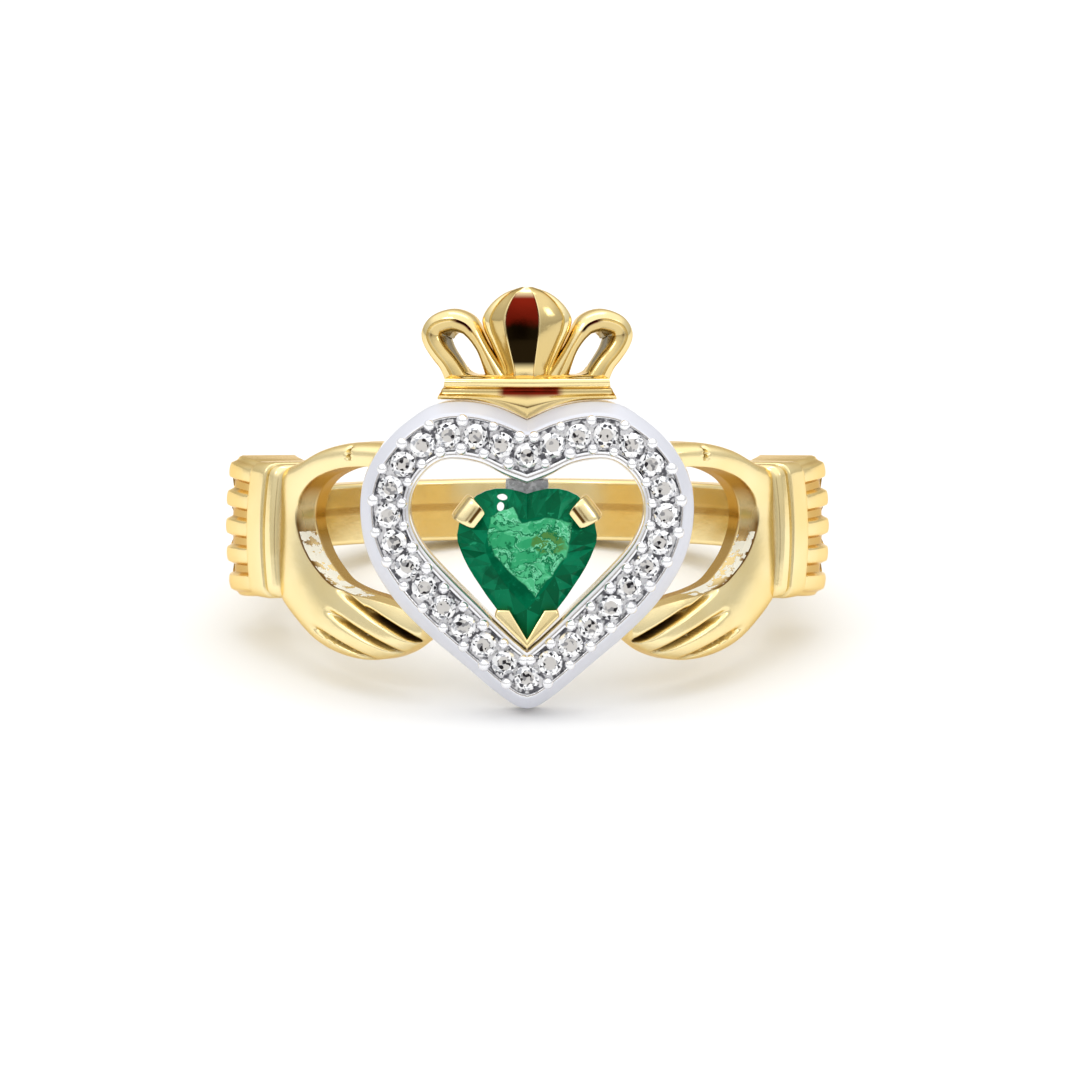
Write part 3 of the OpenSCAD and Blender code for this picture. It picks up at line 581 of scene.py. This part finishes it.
def shank():
    """The shank behind the cuffs: rounded outside, slightly broken edges and a fine painted dark stripe
    inside, standing in for a reflection.
    """
    half, r, inner_r = shank_w / 2, shank_edge_r, 0.14
    corner = np.radians(np.linspace(0, 90, 9))
    section = [(bore_r + inner_r * (1 - math.cos(c)), -half + inner_r * (1 - math.sin(c))) for c in corner]
    section += [(shank_r - r + r * math.sin(c), -half + r - r * math.cos(c)) for c in corner]
    bore = [(bore_r, z) for z in np.linspace(1, -1, 41) * (half - inner_r)]
    section = np.array(section + [(a, -b) for a, b in section[::-1]] + bore[1:-1])
    start = cuff_angle + cuff_turn * 0.6
    loops = [round_pt(section[:, 0], turn, section[:, 1]) for turn in np.linspace(start, 360 - start, 241)]
    # A painted dark stripe on the inside, standing in for a reflection.
    stripe = (section[:, 0] == bore_r) * fade(np.abs(section[:, 1] - 0.13), 0.15, 0.11) * 0.5
    return marked(loops, wall=np.tile(stripe, len(loops)))


def plain_cuff():
    """A cuff before its ruffle is pleated, how each point takes part in the pleats, and the painted shade in
    its groove and along its front edge.
    """
    share, back = np.linspace(-1, 1, 24 * pleats + 1), np.linspace(1, -1, 17)
    line, flat_r, groove_place = np.concatenate([share, back]), 0.16, 0.119
    loops, folds, hollows = [], [], []
    for at, height, thick, pleat in rounded(steps(cuff_rows, 2)):
        half = cuff_h / 2 * height
        turn = cuff_angle + cuff_turn * at
        round_r = mix(rim_edge_r, flat_r, min(1, max(0, pleat)))
        over = np.maximum(0, np.abs(half * share) - half + round_r)
        drop = round_r - np.sqrt(np.maximum(0, round_r**2 - over**2))
        r = bore_r + cuff_t * thick - drop - cuff_dome * share**2
        r = np.append(r, np.full(len(back), bore_r))
        loops.append(round_pt(r, turn + cuff_lean * half * line / bore_r, half * line))
        # Painted shade in the groove and along the front edge.
        dark = 0.45 * math.exp(-((at - groove_place) / 0.014) ** 2) + 0.3 * math.exp(-(at / 0.006) ** 2)
        for values, value in ((folds, max(0, pleat)), (hollows, dark)):
            values.append(np.repeat([value, 0], [len(share), len(back)]))
    return marked(loops, share=[line] * len(loops), fold=folds, hollow=hollows)


def pleat_tree(g, given):
    """Cuts grooves at equal spaces across the ruffle, each as deep as a point's own share of them, and paints
    shade on their walls.
    """
    def read(name, kind="FLOAT"):
        return g.add("GeometryNodeInputNamedAttribute", {"Name": name}, out="Attribute", data_type=kind)
    f = (read("share") + 1) * given.pick("Pleats") / 2 % 1
    edge = 0.5 - abs(f - 0.5)
    lobe = edge.between(given.pick("Groove"), given.pick("Groove") + given.pick("Wall"))
    side = f * 2 - 1
    fold = read("fold") * (1 - lobe * (1 - side * side * given.pick("Rounding")))
    move = g.vector("SCALE", read("outward", "FLOAT_VECTOR"), fold * given.pick("Depth") * -1)
    moved = g.add("GeometryNodeSetPosition", {"Geometry": given, "Offset": move})
    inside = 1 - abs(read("share")).between(0.92, 0.95)
    return g.store(moved, "wall", (fold * 1.1 - 0.45) * inside)


def reach(s):
    return s * np.where(s > 0, thumb_up, finger_down)


def groove_at(turn, z):
    """Depth of the grooves between the fingers, and the painted shade in them."""
    r = bore_r + hand_t
    p = columns(np.radians(turn) * r, z)
    deep, dark = np.zeros(p.shape[:-1]), np.zeros(p.shape[:-1])
    for start_turn, start_down, end_turn, end_down, depth, width in groove_rows:
        a = np.array([math.radians(start_turn * cuff_angle) * r, -start_down * finger_down])
        b = np.array([math.radians(end_turn * cuff_angle) * r, -end_down * finger_down])
        t = (p - a) @ (b - a) / ((b - a) @ (b - a))
        near = mix(a, b, np.clip(t, 0, 1.12)[..., None])
        off = np.linalg.norm(p - near, axis=-1) / (finger_groove_w * width)
        trough = np.exp(-off * off)
        deep = np.maximum(deep, depth * fade(t, 0, 1 / 4) * trough)
        dark = np.maximum(dark, min(0.9, 0.25 + 0.45 * depth) * fade(t, 0, 1 / 3) * fade(trough, 0.3, 0.7))
    return np.stack([deep * finger_groove, dark])


def swell(s):
    """Height across a hand: a rounded back, the palm's edge, then a bevel down to the gap."""
    back = np.sqrt(np.maximum(0, 1 - np.abs(1 - 2 * s) ** 3))
    palm = 1 - 0.14 * ((s - 0.5) / (palm_edge - 0.5)) ** 2
    bevel = 0.86 * (1 - s) / (1 - palm_edge)
    return np.where(s < 0.5, back, np.where(s < palm_edge, palm, bevel))


def soft_swell(s):
    """The same with the palm's edge polished round."""
    return sum(swell(np.clip(s + k * 0.004 * fade(s, 0.5, 0.75), 0, 1)) for k in (-2, -1, 0, 1, 2)) / 5


def hand():
    """A hand from its thumb round the palm to its fingertips, with painted shade in its creases and grooves
    and on its walls, and a painted highlight on the palm's edge.
    """
    s = np.concatenate([0.5 - 0.5 * np.cos(np.linspace(0, math.pi / 2, 30)), np.linspace(0.5, 0.93, 40)[1:],
                        np.linspace(0.93, 1, 22)[1:]])
    down = np.linspace(0, 1, 7)[1:]
    hand_root = bore_r - hand_t * 0.24
    in_gap, beyond = np.ones(len(down)), np.zeros(2 * len(down) - 1)
    loops, hollow, palm, wall = [], [], [], []
    for turn_a, up_a, turn_b, up_b, thick in curve(hand_rows, 14):
        turn_a, turn_b = turn_a * cuff_angle, turn_b * cuff_angle
        z_a, z_b, full = reach(up_a), reach(up_b), hand_t * thick
        turn, z = mix(turn_a, turn_b, s), mix(z_a, z_b, s)
        groove, dark = groove_at(turn, z) * soft_swell(s)
        top = round_pt(bore_r + mix(min(hand_edge_t, full), full, soft_swell(s)) - groove, turn, z)
        lean = (bore_r + hand_edge_t) / hand_root * math.sin(math.radians(turn_b))
        straight = math.degrees(math.asin(min(0.99, lean)))
        foot_turn = mix(turn_b, straight, 0.4 * hand_edge_t / (hand_edge_t + bore_r - hand_root))
        foot = round_pt(bore_r, foot_turn, z_b)
        gap_wall = mix(top[-1], foot, down[:, None])
        under = round_pt(bore_r, mix(foot_turn, turn_a, down), mix(z_b, z_a, down))
        outer_wall = mix(under[-1], top[0], down[:-1, None])
        loops.append(np.concatenate([top, gap_wall, under, outer_wall]))
        # Where the palm's edge gets its painted highlight, and the painted shade along its crease and on its
        # walls.
        bright = fade(up_b, -0.52, -0.46) * fade(up_b, 0.06, 0.01)
        crease = np.exp(-((s - palm_edge) / 0.01) ** 2) * fade(up_b, -0.5, -0.4) * fade(up_b, 0.3, 0.1)
        strip, deep_wall = mix(0.3, 1.0, fade(up_b, 0.3, 0.5)), mix(0.75, 1.3, fade(up_b, -0.1, 0.1))
        palm.append(np.concatenate([(s > palm_edge) * bright, in_gap * 0, beyond]))
        hollow.append(np.concatenate([np.maximum(crease, dark), in_gap * 0, beyond]))
        wall.append(np.concatenate([(s > palm_edge) * strip, in_gap * deep_wall, beyond]))
    return marked(loops, hollow=hollow, palm=palm, wall=wall)


made("shank", *shank(), "yellow_gold", yellow_gold, ["band"])

cuff_parts, cuff_marks = paired(*plain_cuff())
cuff_marks["outward"] = unit(cuff_parts[0] * [1, 1, 0]) @ turned.T
cuff_mesh = new_mesh("cuff_base", laid(cuff_parts[0]), cuff_parts[1], 38, marks=cuff_marks)
cuff_inputs = {"Pleats": pleats, "Depth": pleat_depth / 1000, "Groove": 0.12, "Wall": 0.15, "Rounding": 0.55}
cuff_inputs = {name: ("Float", float(value)) for name, value in cuff_inputs.items()}
cuff_base = placed("cuff_base", cuff_mesh)
grown("cuffs", cuff_base, cuff_inputs, pleat_tree, "yellow_gold", yellow_gold, ["band"], 38)

made("hands", *paired(*hand()), "yellow_gold", hand_gold, ["band"], 50)


# Heart of white metal.
def heart_side(n):
    """Outer and inner line of the heart's right side, from the cleft to the tip."""
    rows = curve(heart_rows, n)
    outer, inward = columns(rows[:, 0] * halo_w / 2, rows[:, 1] * halo_h - halo_drop), np.radians(rows[:, 2])
    return outer, outer + columns(np.cos(inward), np.sin(inward)) * (halo_band * rows[:, 3:4])


def both_sides(line):
    return np.concatenate([line, line[-2:0:-1] * [-1, 1]])


def heart_line(share):
    """Points along a line at a share across the metal, from the tip round the heart."""
    line = both_sides(mix(*heart_side(6), share))
    line = np.roll(line, -(len(line) // 2), axis=0)
    return np.concatenate([line, line[:1]])


def heart_halo():
    """The heart's metal, how far each point lies in the stones' channel and which lie on the outer bevel."""
    section = steps(halo_section, 2)
    inward, thick, channel = section.T
    loops = [front_pt(mix(a[0], b[0], inward), halo_d + halo_t * thick, mix(a[1], b[1], inward))
             for a, b in zip(*(both_sides(line) for line in heart_side(10)))]
    bevel = 1.0 * (inward > 0.01) * (inward < 0.22)
    return loft(loops, ring=True), {name: np.tile(values, len(loops))
                                    for name, values in (("channel", channel), ("bevel", bevel))}


made("heart_halo_metal", *heart_halo(), "white_gold", white_gold, ["heart_halo"], 32)

row_line = heart_line(stone_line)
row_run = np.concatenate([[0], np.cumsum(np.linalg.norm(np.diff(row_line, axis=0), axis=1))])
stone_pitch = row_run[-1] / stone_count
stone_r = (stone_pitch - stone_gap) / 2
stone_d = halo_d + halo_t * (stone_face - 0.05)


def row_pt(length):
    length = np.asarray(length, float) % row_run[-1]
    return columns(*(np.interp(length, row_run, line) for line in row_line.T))


def brilliant(r):
    """A round brilliant of radius r: table, stars, kites, upper halves, girdle, lower halves and pavilion."""
    rings = []
    for radius, height, count, turn in ((0.56, 0.3, 8, 22.5), (0.78, 0.198, 8, 0), (1.0, 0.02, 16, 0),
                                        (1.0, -0.02, 16, 0), (0.4, -0.5, 8, 0)):
        turns = np.radians(360 * np.arange(count) / count + turn)
        rings.append(columns(radius * np.cos(turns), radius * np.sin(turns), height))
    points = np.concatenate(rings + [np.array([[0, 0, -0.82]])]) * r
    table, star, top, low, deep, culet = 0, 8, 16, 32, 48, 56
    faces = [list(range(8))]
    for i in range(8):
        j, g, h = (i + 1) % 8, 2 * i + 1, (2 * i + 2) % 16
        faces += [[table + i, star + j, table + j], [table + i, star + i, top + g, star + j],
                  [star + i, top + 2 * i, top + g], [star + j, top + g, top + h],
                  [top + 2 * i, low + 2 * i, low + g, top + g], [top + g, low + g, low + h, top + h],
                  [deep + i, low + g, low + 2 * i], [deep + j, low + h, low + g],
                  [culet, deep + j, low + g, deep + i]]
    return points, faces


def ball(r, rings=8, around=14, pole=0.12):
    turns = np.linspace(0, 2 * math.pi, around, endpoint=False)
    return loft([r * columns(math.sin(a) * np.cos(turns), math.sin(a) * np.sin(turns), math.cos(a))
                 for a in np.linspace(pole, math.pi - pole, rings)])


def set_tree(g, given):
    """Sets the form on every point, facing the front, each turned and sized by chance."""
    def by_chance(low, high, seed):
        return g.add("FunctionNodeRandomValue", {2: low, 3: high, "Seed": seed}, out=1, data_type="FLOAT")

    def turned_on(axis, angle):
        return g.add("FunctionNodeEulerToRotation", {0: g.add("ShaderNodeCombineXYZ", {axis: angle})})

    form = g.add("GeometryNodeObjectInfo", {"Object": given.pick("Form")}, out="Geometry")
    seed, change = given.pick("Seed"), given.pick("Size change")
    spin = turned_on("Z", by_chance(0.0, given.pick("Spin"), seed))
    size = by_chance(1 - change, 1 + change, seed + 1)
    way = g.add("FunctionNodeRotateRotation", {0: turned_on("X", given.pick("Facing")), 1: spin},
                rotation_space="LOCAL")
    return g.add("GeometryNodeInstanceOnPoints", {
        "Points": g.store(given, "spark", by_chance(0.0, 1.0, seed + 2)), "Instance": form, "Rotation": way,
        "Scale": g.add("ShaderNodeCombineXYZ", {0: size, 1: size, 2: size})})


def set_on(name, at, d, form, slot, material, nodes, sharp, spin=0.0, change=0.0, seed=1, marks=None):
    """One small form set on every point of the heart's face."""
    places = placed(name + "_places", bpy.data.meshes.new(name + "_places"))
    places.data.from_pydata(laid(front_pt(at[:, 0], d, at[:, 1])).tolist(), [], [])
    single = placed(name + "_form", new_mesh(name + "_form", form[0] / 1000, form[1], sharp, marks=marks))
    return grown(name, places, {
        "Form": ("Object", single), "Facing": ("Float", math.pi / 2 - tilt), "Spin": ("Float", spin),
        "Size change": ("Float", change), "Seed": ("Int", seed)}, set_tree, slot, material, nodes, sharp)


stone_at = row_pt(np.arange(stone_count) * stone_pitch)
stone = brilliant(stone_r)
chance = np.random.default_rng(8)
set_on("pave_diamonds", stone_at, stone_d, stone, "diamond", diamond,
       [f"diamond_{i:02d}" for i in range(1, stone_count + 1)], 1, spin=math.tau, seed=4,
       marks={"facet": chance.random(len(stone[1]))})

between = (np.arange(stone_count) + 0.5) * stone_pitch
aside = beside(row_pt(between + stone_r * 0.2) - row_pt(between - stone_r * 0.2))
off = math.sqrt((stone_r + gap * 2 + bead_r) ** 2 - (stone_pitch / 2) ** 2)
bead_at = np.concatenate([row_pt(between) + aside * off, row_pt(between) - aside * off])
set_on("pave_beads", bead_at, stone_d + bead_r * 0.3, ball(bead_r * 1.1), "white_gold", white_gold,
       ["heart_halo"], 60, change=0.12, seed=7)


# Heart-cut stone.
opening = heart_side(1)[1]
opening_top, opening_tip = opening[0][1], opening[-1][1]
gem_w = gem_fill_w * 2 * opening[:, 0].max()
gem_h = gem_fill_h * (opening_top - opening_tip)
gem_drop = -opening_tip - gem_foot * (opening_top - opening_tip)
gem_mid = np.array([0, 0.56 * gem_h])


def gem_outline(n):
    rows = curve(gem_rows, n)
    return both_sides(columns(rows[:, 0] * gem_w / 2, rows[:, 1] * gem_h))


def gem_ring(outline, share, d):
    q = mix(gem_mid, outline, share)
    return front_pt(q[:, 0], d, q[:, 1] - gem_drop)


def emerald():
    """Table, crown, girdle and pavilion facets on the heart's outline."""
    fine = gem_outline(2)
    corner, between_corners = fine[::2], fine[1::2]
    n = len(corner)
    rings = [gem_ring(line, share, gem_d + above) for line, share, above in (
        (corner, 0.6, gem_table_t), (between_corners, 0.82, gem_table_t * 0.66), (fine, 1.0, gem_girdle_t),
        (fine, 1.0, 0), (between_corners, 0.6, -gem_pavilion * 0.5), (corner, 0.14, -gem_pavilion))]
    table, crown, top, low, deep, culet = np.cumsum([0] + [len(r) for r in rings])[:6].tolist()
    faces = [list(range(table, table + n)), list(range(culet, culet + n))]
    for i in range(n):
        j, a, b, c = (i + 1) % n, 2 * i, 2 * i + 1, (2 * i + 2) % (2 * n)
        faces += [[table + i, crown + i, table + j], [table + i, top + a, crown + i],
                  [crown + i, top + c, table + j], [crown + i, top + a, top + b],
                  [crown + i, top + b, top + c], [top + a, low + a, low + b, top + b],
                  [top + b, low + b, low + c, top + c], [low + a, deep + i, low + b],
                  [low + b, deep + i, low + c], [low + a, culet + i, deep + i],
                  [deep + i, culet + j, low + c], [culet + i, culet + j, deep + i]]
    return np.concatenate(rings), faces


gem_part, table_tone = emerald(), 0.45
gem_tones = np.append(table_tone, chance.random(len(gem_part[1]) - 1))
made("emerald_heart", gem_part, {"facet": gem_tones}, "emerald", emerald_green, ["emerald"], 1)


# Setting: basket, two folded claws, tip guard and bridge. A claw's rows run up from its foot: how far it
# leans inwards, height over the stone's girdle, share of the width, thickness.
claw_rows = [
    (0.34, -0.95, 0.6, 0.28), (0.1, -0.5, 0.75, 0.32), (-0.15, 0, 0.95, 0.34), (-0.17, 0.36, 1, 0.36),
    (-0.08, 0.62, 0.98, 0.36), (0.12, 0.74, 0.92, 0.34), (0.36, 0.73, 0.82, 0.3), (0.52, 0.68, 0.7, 0.22),
]
claw_steps = 14
strap_turns = np.radians(np.arange(0, 360, 12) + 6)


def strap(path, widths, thicks, across):
    """A strap swept along a path in the plane of its first two vectors, with softly squared edges."""
    up = np.cross(unit(np.gradient(path, axis=0)), across)
    a, b = (np.sign(c) * np.abs(c) ** 0.4 for c in (np.cos(strap_turns), np.sin(strap_turns)))
    return loft([p + np.outer(a, across) * w / 2 + np.outer(b, u) * t / 2
                 for p, u, w, t in zip(path, up, widths, thicks)])


def claw(side):
    """A claw, and the painted shade on its front: a short dark slit beside its tip and a fine line round its
    shoulder.
    """
    foot = np.array([side * 0.86 * gem_w / 2, 0.86 * gem_h])
    way = unit(gem_mid - foot)
    inward, height, wide, thick = curve(claw_rows, claw_steps).T
    path = front_pt(foot[0] + way[0] * inward, gem_d + height, foot[1] - gem_drop + way[1] * inward)
    row = np.arange(len(path))[:, None] / claw_steps
    sideways, front = side * np.cos(strap_turns), np.sin(strap_turns) > 0.2
    slit = fade(np.abs(row - 5.75), 0.308, 0.168) * (sideways < 0.3) * (sideways > -0.85)
    dark = np.maximum(slit, 0.6 * fade(np.abs(row - 4.1), 0.24, 0.08)) * front
    part = strap(path, claw_w * wide, thick, np.array([-way[1], 0, way[0]]))
    return part, {"hollow": np.append(dark, [0, 0])}


def basket():
    top, low = gem_d - gem_pavilion * 0.3, halo_d + gem_lift * 0.1
    outer, inner = gem_ring(gem_outline(6), 0.88, 0), gem_ring(gem_outline(6), 0.7, 0)
    s, d = np.array([(0, top - 0.05), (0, low + 0.05), (0.1, low), (0.9, low), (1, low + 0.05),
                     (1, top - 0.3), (0.9, top - 0.25), (0.1, top)]).T
    return loft([front_pt(mix(a[0], b[0], s), d, mix(a[2], b[2], s))
                 for a, b in zip(outer, inner)], ring=True)


def guard():
    """The tip guard in the heart's inner tip, with its front edges broken, and its foot in the basket."""
    arm = np.array(guard_rows) * [guard_w / 2, guard_h] + [0, opening_tip + gap * 1.5]
    outline = np.concatenate([arm, arm[-2:0:-1] * [-1, 1]])
    foot = inset(np.concatenate([arm[:-1], arm[-2:0:-1] * [-1, 1]]), 0.02)
    back, face = halo_d + gem_lift * 0.2, gem_d + gem_table_t * 0.78
    body = [(back, outline), (face - 0.09, outline), (face - 0.05, inset(outline, 0.012)),
            (face - 0.015, inset(outline, 0.045)), (face, inset(outline, 0.085))]
    root = [(back + 0.01, foot), (gem_d - gem_pavilion * 0.45, foot)]
    return join(*(loft([front_pt(line[:, 0], d, line[:, 1]) for d, line in rows], ends="flat")
                  for rows in (body, root)))


def block(low, high, soft=0.04):
    """A small bar with softened edges, from its lowest corner to its highest."""
    loops = []
    for z, less in ((low[2], soft), (low[2] + soft, 0), (high[2] - soft, 0), (high[2], soft)):
        x0, y0, x1, y1 = low[0] + less, low[1] + less, high[0] - less, high[1] - less
        loops.append([(x0 + soft, y0, z), (x1 - soft, y0, z), (x1, y0 + soft, z), (x1, y1 - soft, z),
                      (x1 - soft, y1, z), (x0 + soft, y1, z), (x0, y1 - soft, z), (x0, y0 + soft, z)])
    return loft(loops)


made("claw_setting", *merged([(basket(), {}), claw(-1), claw(1), (guard(), {})]), "yellow_gold", yellow_gold,
     ["emerald_setting"], 40)

bridge_foot = gem_ring(gem_outline(1), 0.88, 0)[:, 2].max() + gap
bridge = block([-bridge_w / 2, -halo_d - halo_t * 0.55, bridge_foot],
               [bridge_w / 2, -halo_d - halo_t * 0.13, opening_top + halo_band * 0.08])
# The bridge takes some of the channel's painted shade and of the bevel's painted grey reflection.
bridge_marks = {"channel": np.full(len(bridge[0]), 0.45), "bevel": np.full(len(bridge[0]), 0.4)}
made("setting_bridge", bridge, bridge_marks, "white_gold", white_gold, ["heart_halo"])


# Crown.
crown_z = halo_top + gap
crown_r = halo_d + halo_t * 0.52
crown_foot, loop_mid = crown_z + bar_h, crown_r - bar_t / 2
cleft = heart_side(4)[0][:9] + [0, gap]


def bar_foot(x):
    return np.minimum(crown_z, np.interp(np.abs(x), cleft[:, 0], cleft[:, 1]))


def crown_pt(x, d, z):
    return round_pt(d, np.degrees(np.arcsin(np.asarray(x, float) / crown_r)), z)


def bar():
    """The crown's bar with painted khaki shade on its foot and a painted dark red reflection in its hollow.
    Only its lip follows the heart's dip.
    """
    rows, across = curve(bar_rows, 4), np.linspace(-1, 1, 97)
    lip = bar_rows[3][0]
    loops = []
    for s in across:
        x = bar_w / 2 * rows[:, 2] * s
        foot = bar_foot(x)
        up = mix(np.where(rows[:, 0] < lip, foot, crown_z), crown_z, np.minimum(1, rows[:, 0] / lip))
        face = crown_pt(x, crown_r + bar_t * rows[:, 1], up + bar_h * rows[:, 0])
        loops.append(np.concatenate([face, crown_pt([x[-1], x[0]], crown_r - bar_t, [crown_foot, foot[0]])]))
    height = np.append(rows[:, 0], [1, 0])
    hollow = np.outer(fade(np.abs(across - 0.04), 0.4, 0.31), fade(np.abs(height - 0.335), 0.155, 0.105))
    return marked(loops, shadow=hollow, ember=np.full(hollow.shape, 0.6),
                  khaki=np.tile(fade(height, 0.48, 0.42) * 0.55, len(across)))


# Section of a loop: across towards the outside, and forwards.
loop_section = [
    (1, 0), (0.97, 0.42), (0.8, 0.78), (0.24, 1), (0.15, 0.9), (0.09, 0.9), (-0.02, 0.97), (-0.66, 0.8),
    (-0.92, 0.52), (-1, 0.05), (-0.92, -0.6), (-0.6, -0.92), (0, -1), (0.6, -0.92), (0.92, -0.6),
]


def crown_loop():
    """The right loop, from its outer foot over the top: painted grey reflection on the hole's wall, painted
    khaki shade on its face, painted shade on its inner edge and a painted dark red reflection in its groove.
    """
    rows = curve(loop_rows, loop_steps)
    a, b = rounded(loop_section + loop_section[:1], 0.2, 1)[:-1].T
    centre = columns(rows[:, 0] * crown_w / 2, crown_foot + rows[:, 1] * crown_h)
    loops = []
    for p, q, (_, _, wide, thick, lean) in zip(centre, beside(np.gradient(centre, axis=0)), rows):
        slope = np.where(a < -0.1, lean * np.maximum(0, 0.4 - b) / 1.4, 0)
        at = p + np.outer(a - slope, q) * loop_w * wide / 2
        loops.append(crown_pt(at[:, 0], loop_mid + b * loop_t * thick / 2, at[:, 1]))
    at = np.arange(len(rows)) / loop_steps
    return marked(
        loops, hole=np.outer(fade(at, 7.8, 7.2) * fade(at, 0.5, 1.5), (a < -0.55) & (b < 0.45)),
        khaki=np.tile(np.where(a < 0, 0.75, 0.25) * (b > 0.4), (len(rows), 1)),
        hollow=0.7 * np.outer(fade(at, 8.6, 8.0), (a < -0.7) & (b > 0.15) & (b < 0.66)),
        shadow=np.outer(fade(at, 7.0, 7.5) * fade(at, 9.2, 8.8), (a > 0.0) & (a < 0.2) & (b > 0.8)),
        ember=np.full((len(rows), len(a)), 0.45))


# Half the petal's section, across and forwards.
petal_half = [
    (0, 0.56), (0.2, 0.57), (0.335, 0.59), (0.36, 0.62), (0.39, 0.62), (0.62, 0.48), (0.76, 0.385),
    (0.785, 0.35), (0.81, 0.38), (0.9, 0.34), (0.96, 0.27), (1, 0.12), (0.98, -0.08), (0.9, -0.25),
    (0.4, -0.38),
]
petal_section = [(-a, b) for a, b in petal_half] + petal_half[:0:-1]


def petal():
    """The middle petal with its facet a little left of the middle, painted with a dark reflection that turns
    red higher up, and painted khaki shade on its sides.
    """
    rows, section = curve(petal_rows, 8), np.array(petal_section)
    aside, facet_shift = np.abs(section[:, 0]), 0.10
    facet, sides = (aside < 0.345) & (section[:, 1] > 0.5), (aside > 0.37) & (aside < 0.77)
    section[:, 0] -= facet_shift * fade(aside, 0.62, 0.4) * (section[:, 1] > 0.3)
    loops = [crown_pt(petal_w / 2 * wide * section[:, 0], loop_mid + petal_t * thick * section[:, 1],
                      crown_foot + up * crown_h) for up, wide, thick in rows]
    height = np.repeat(rows[:, 0], len(section))
    lit = fade(height, 0.06, 0.14) * fade(height, 0.93, 0.85)
    return marked(loops, shadow=np.tile(facet, len(rows)) * lit, ember=fade(height, 0.4, 0.75),
                  khaki=np.tile(sides * 0.75, len(rows)))


def hole_foot():
    """The rounded lower end of a loop's hole: a small fillet between its two strands."""
    middle, inner_half, outer_half, rise, sunk, soft = 1.72, 0.42, 0.66, 0.34, 0.02, 0.05
    loops = []
    for share in np.linspace(-1, 1, 21):
        x = middle + (outer_half if share > 0 else inner_half) * share
        top = crown_foot - sunk + rise * (1 - math.sqrt(1 - 0.96 * share * share))
        face = 0.42 - 0.16 * share * share
        forward = loop_t * np.array([-0.4, face - 0.06, face, face, face - 0.06, -0.4])
        low = crown_foot - 2 * soft
        loops.append(crown_pt([x] * 6, loop_mid + forward, [low, low, low + soft, top - soft, top, top]))
    return loft(loops)


crown_made = [bar(), petal(), crown_loop(), (hole_foot(), {})]
crown_made += [(mirrored(part), marks) for part, marks in crown_made[2:]]
made("crown_metal", *merged(crown_made), "yellow_gold", crown_gold, ["crown"], 30)


# ---- floor, light and camera
floor = bpy.data.meshes.new("floor")
floor.from_pydata([(x, y, 0) for x, y in ((-2, -2), (2, -2), (2, 2), (-2, 2))], [], [(0, 1, 2, 3)])
floor.materials.append(finish("floor_white", lambda g: g.shader({
    "Base Color": (0.93, 0.93, 0.93), "Roughness": 0.7})))
floor_piece = placed("floor", floor)

# A white tent: grey at the horizon, brighter overhead, with a dark slot behind the camera.
world = bpy.data.worlds.new("studio")
world.use_nodes = True
world.node_tree.nodes.clear()
sky = Graph(world.node_tree)
way = sky.add("ShaderNodeSeparateXYZ", {0: sky.add("ShaderNodeTexCoord", out="Generated")}, out="Z")
across, ahead = way.pick("X"), way.pick("Y")
tent = way.between(-0.05, 0.25) * 0.22 + way.between(0.3, 0.75) * 0.55 + 0.5
slot = (1 - abs(across).between(0.05, 0.2)) * (1 - way.between(0.15, 0.45)) * (1 - ahead.between(-0.7, -0.4))
sky.add("ShaderNodeOutputWorld", {0: sky.add("ShaderNodeBackground", {
    "Color": sky.blend(slot, clear_white, (1.0, 0.8, 0.58)), "Strength": tent * (1 - slot * 0.7)})})
bpy.context.scene.world = world
bpy.context.scene.view_settings.view_transform = "Standard"


def soft_light(name, place_mm, target_mm, size_mm, power):
    lamp = bpy.data.lights.new(name, "AREA")
    lamp.shape, lamp.size, lamp.size_y = "RECTANGLE", size_mm[0] / 1000, size_mm[1] / 1000
    lamp.energy = power
    holder = placed(name, lamp)
    at = Vector(place_mm) / 1000
    holder.location = at
    holder.rotation_euler = (Vector(target_mm) / 1000 - at).to_track_quat("-Z", "Y").to_euler()


soft_light("key", (-90, -90, 140), (0, -4, 5), (50, 30), 0.022)
soft_light("fill", (110, -70, 90), (0, -4, 5), (40, 30), 0.012)
soft_light("top", (0, 20, 160), (0, 0, 5), (120, 60), 0.03)

camera_data = bpy.data.cameras.new("camera")
camera = placed("camera", camera_data)
bpy.context.scene.camera = camera
camera_above = 3.5                              # degrees above the plane of the ring
camera_far, mm_in_view = 300.0, 37.8
aim = Vector(laid([[0.455, -halo_d - halo_t, 0.07]])[0])
rise = tilt + math.radians(camera_above)
forward = Vector((0, math.cos(rise), -math.sin(rise)))
camera.location = aim - forward * camera_far / 1000
camera.rotation_euler = forward.to_track_quat("-Z", "Y").to_euler()
camera_data.sensor_width = 36
camera_data.lens = 36 * camera_far / mm_in_view
camera_data.clip_start, camera_data.clip_end = 0.01, 10
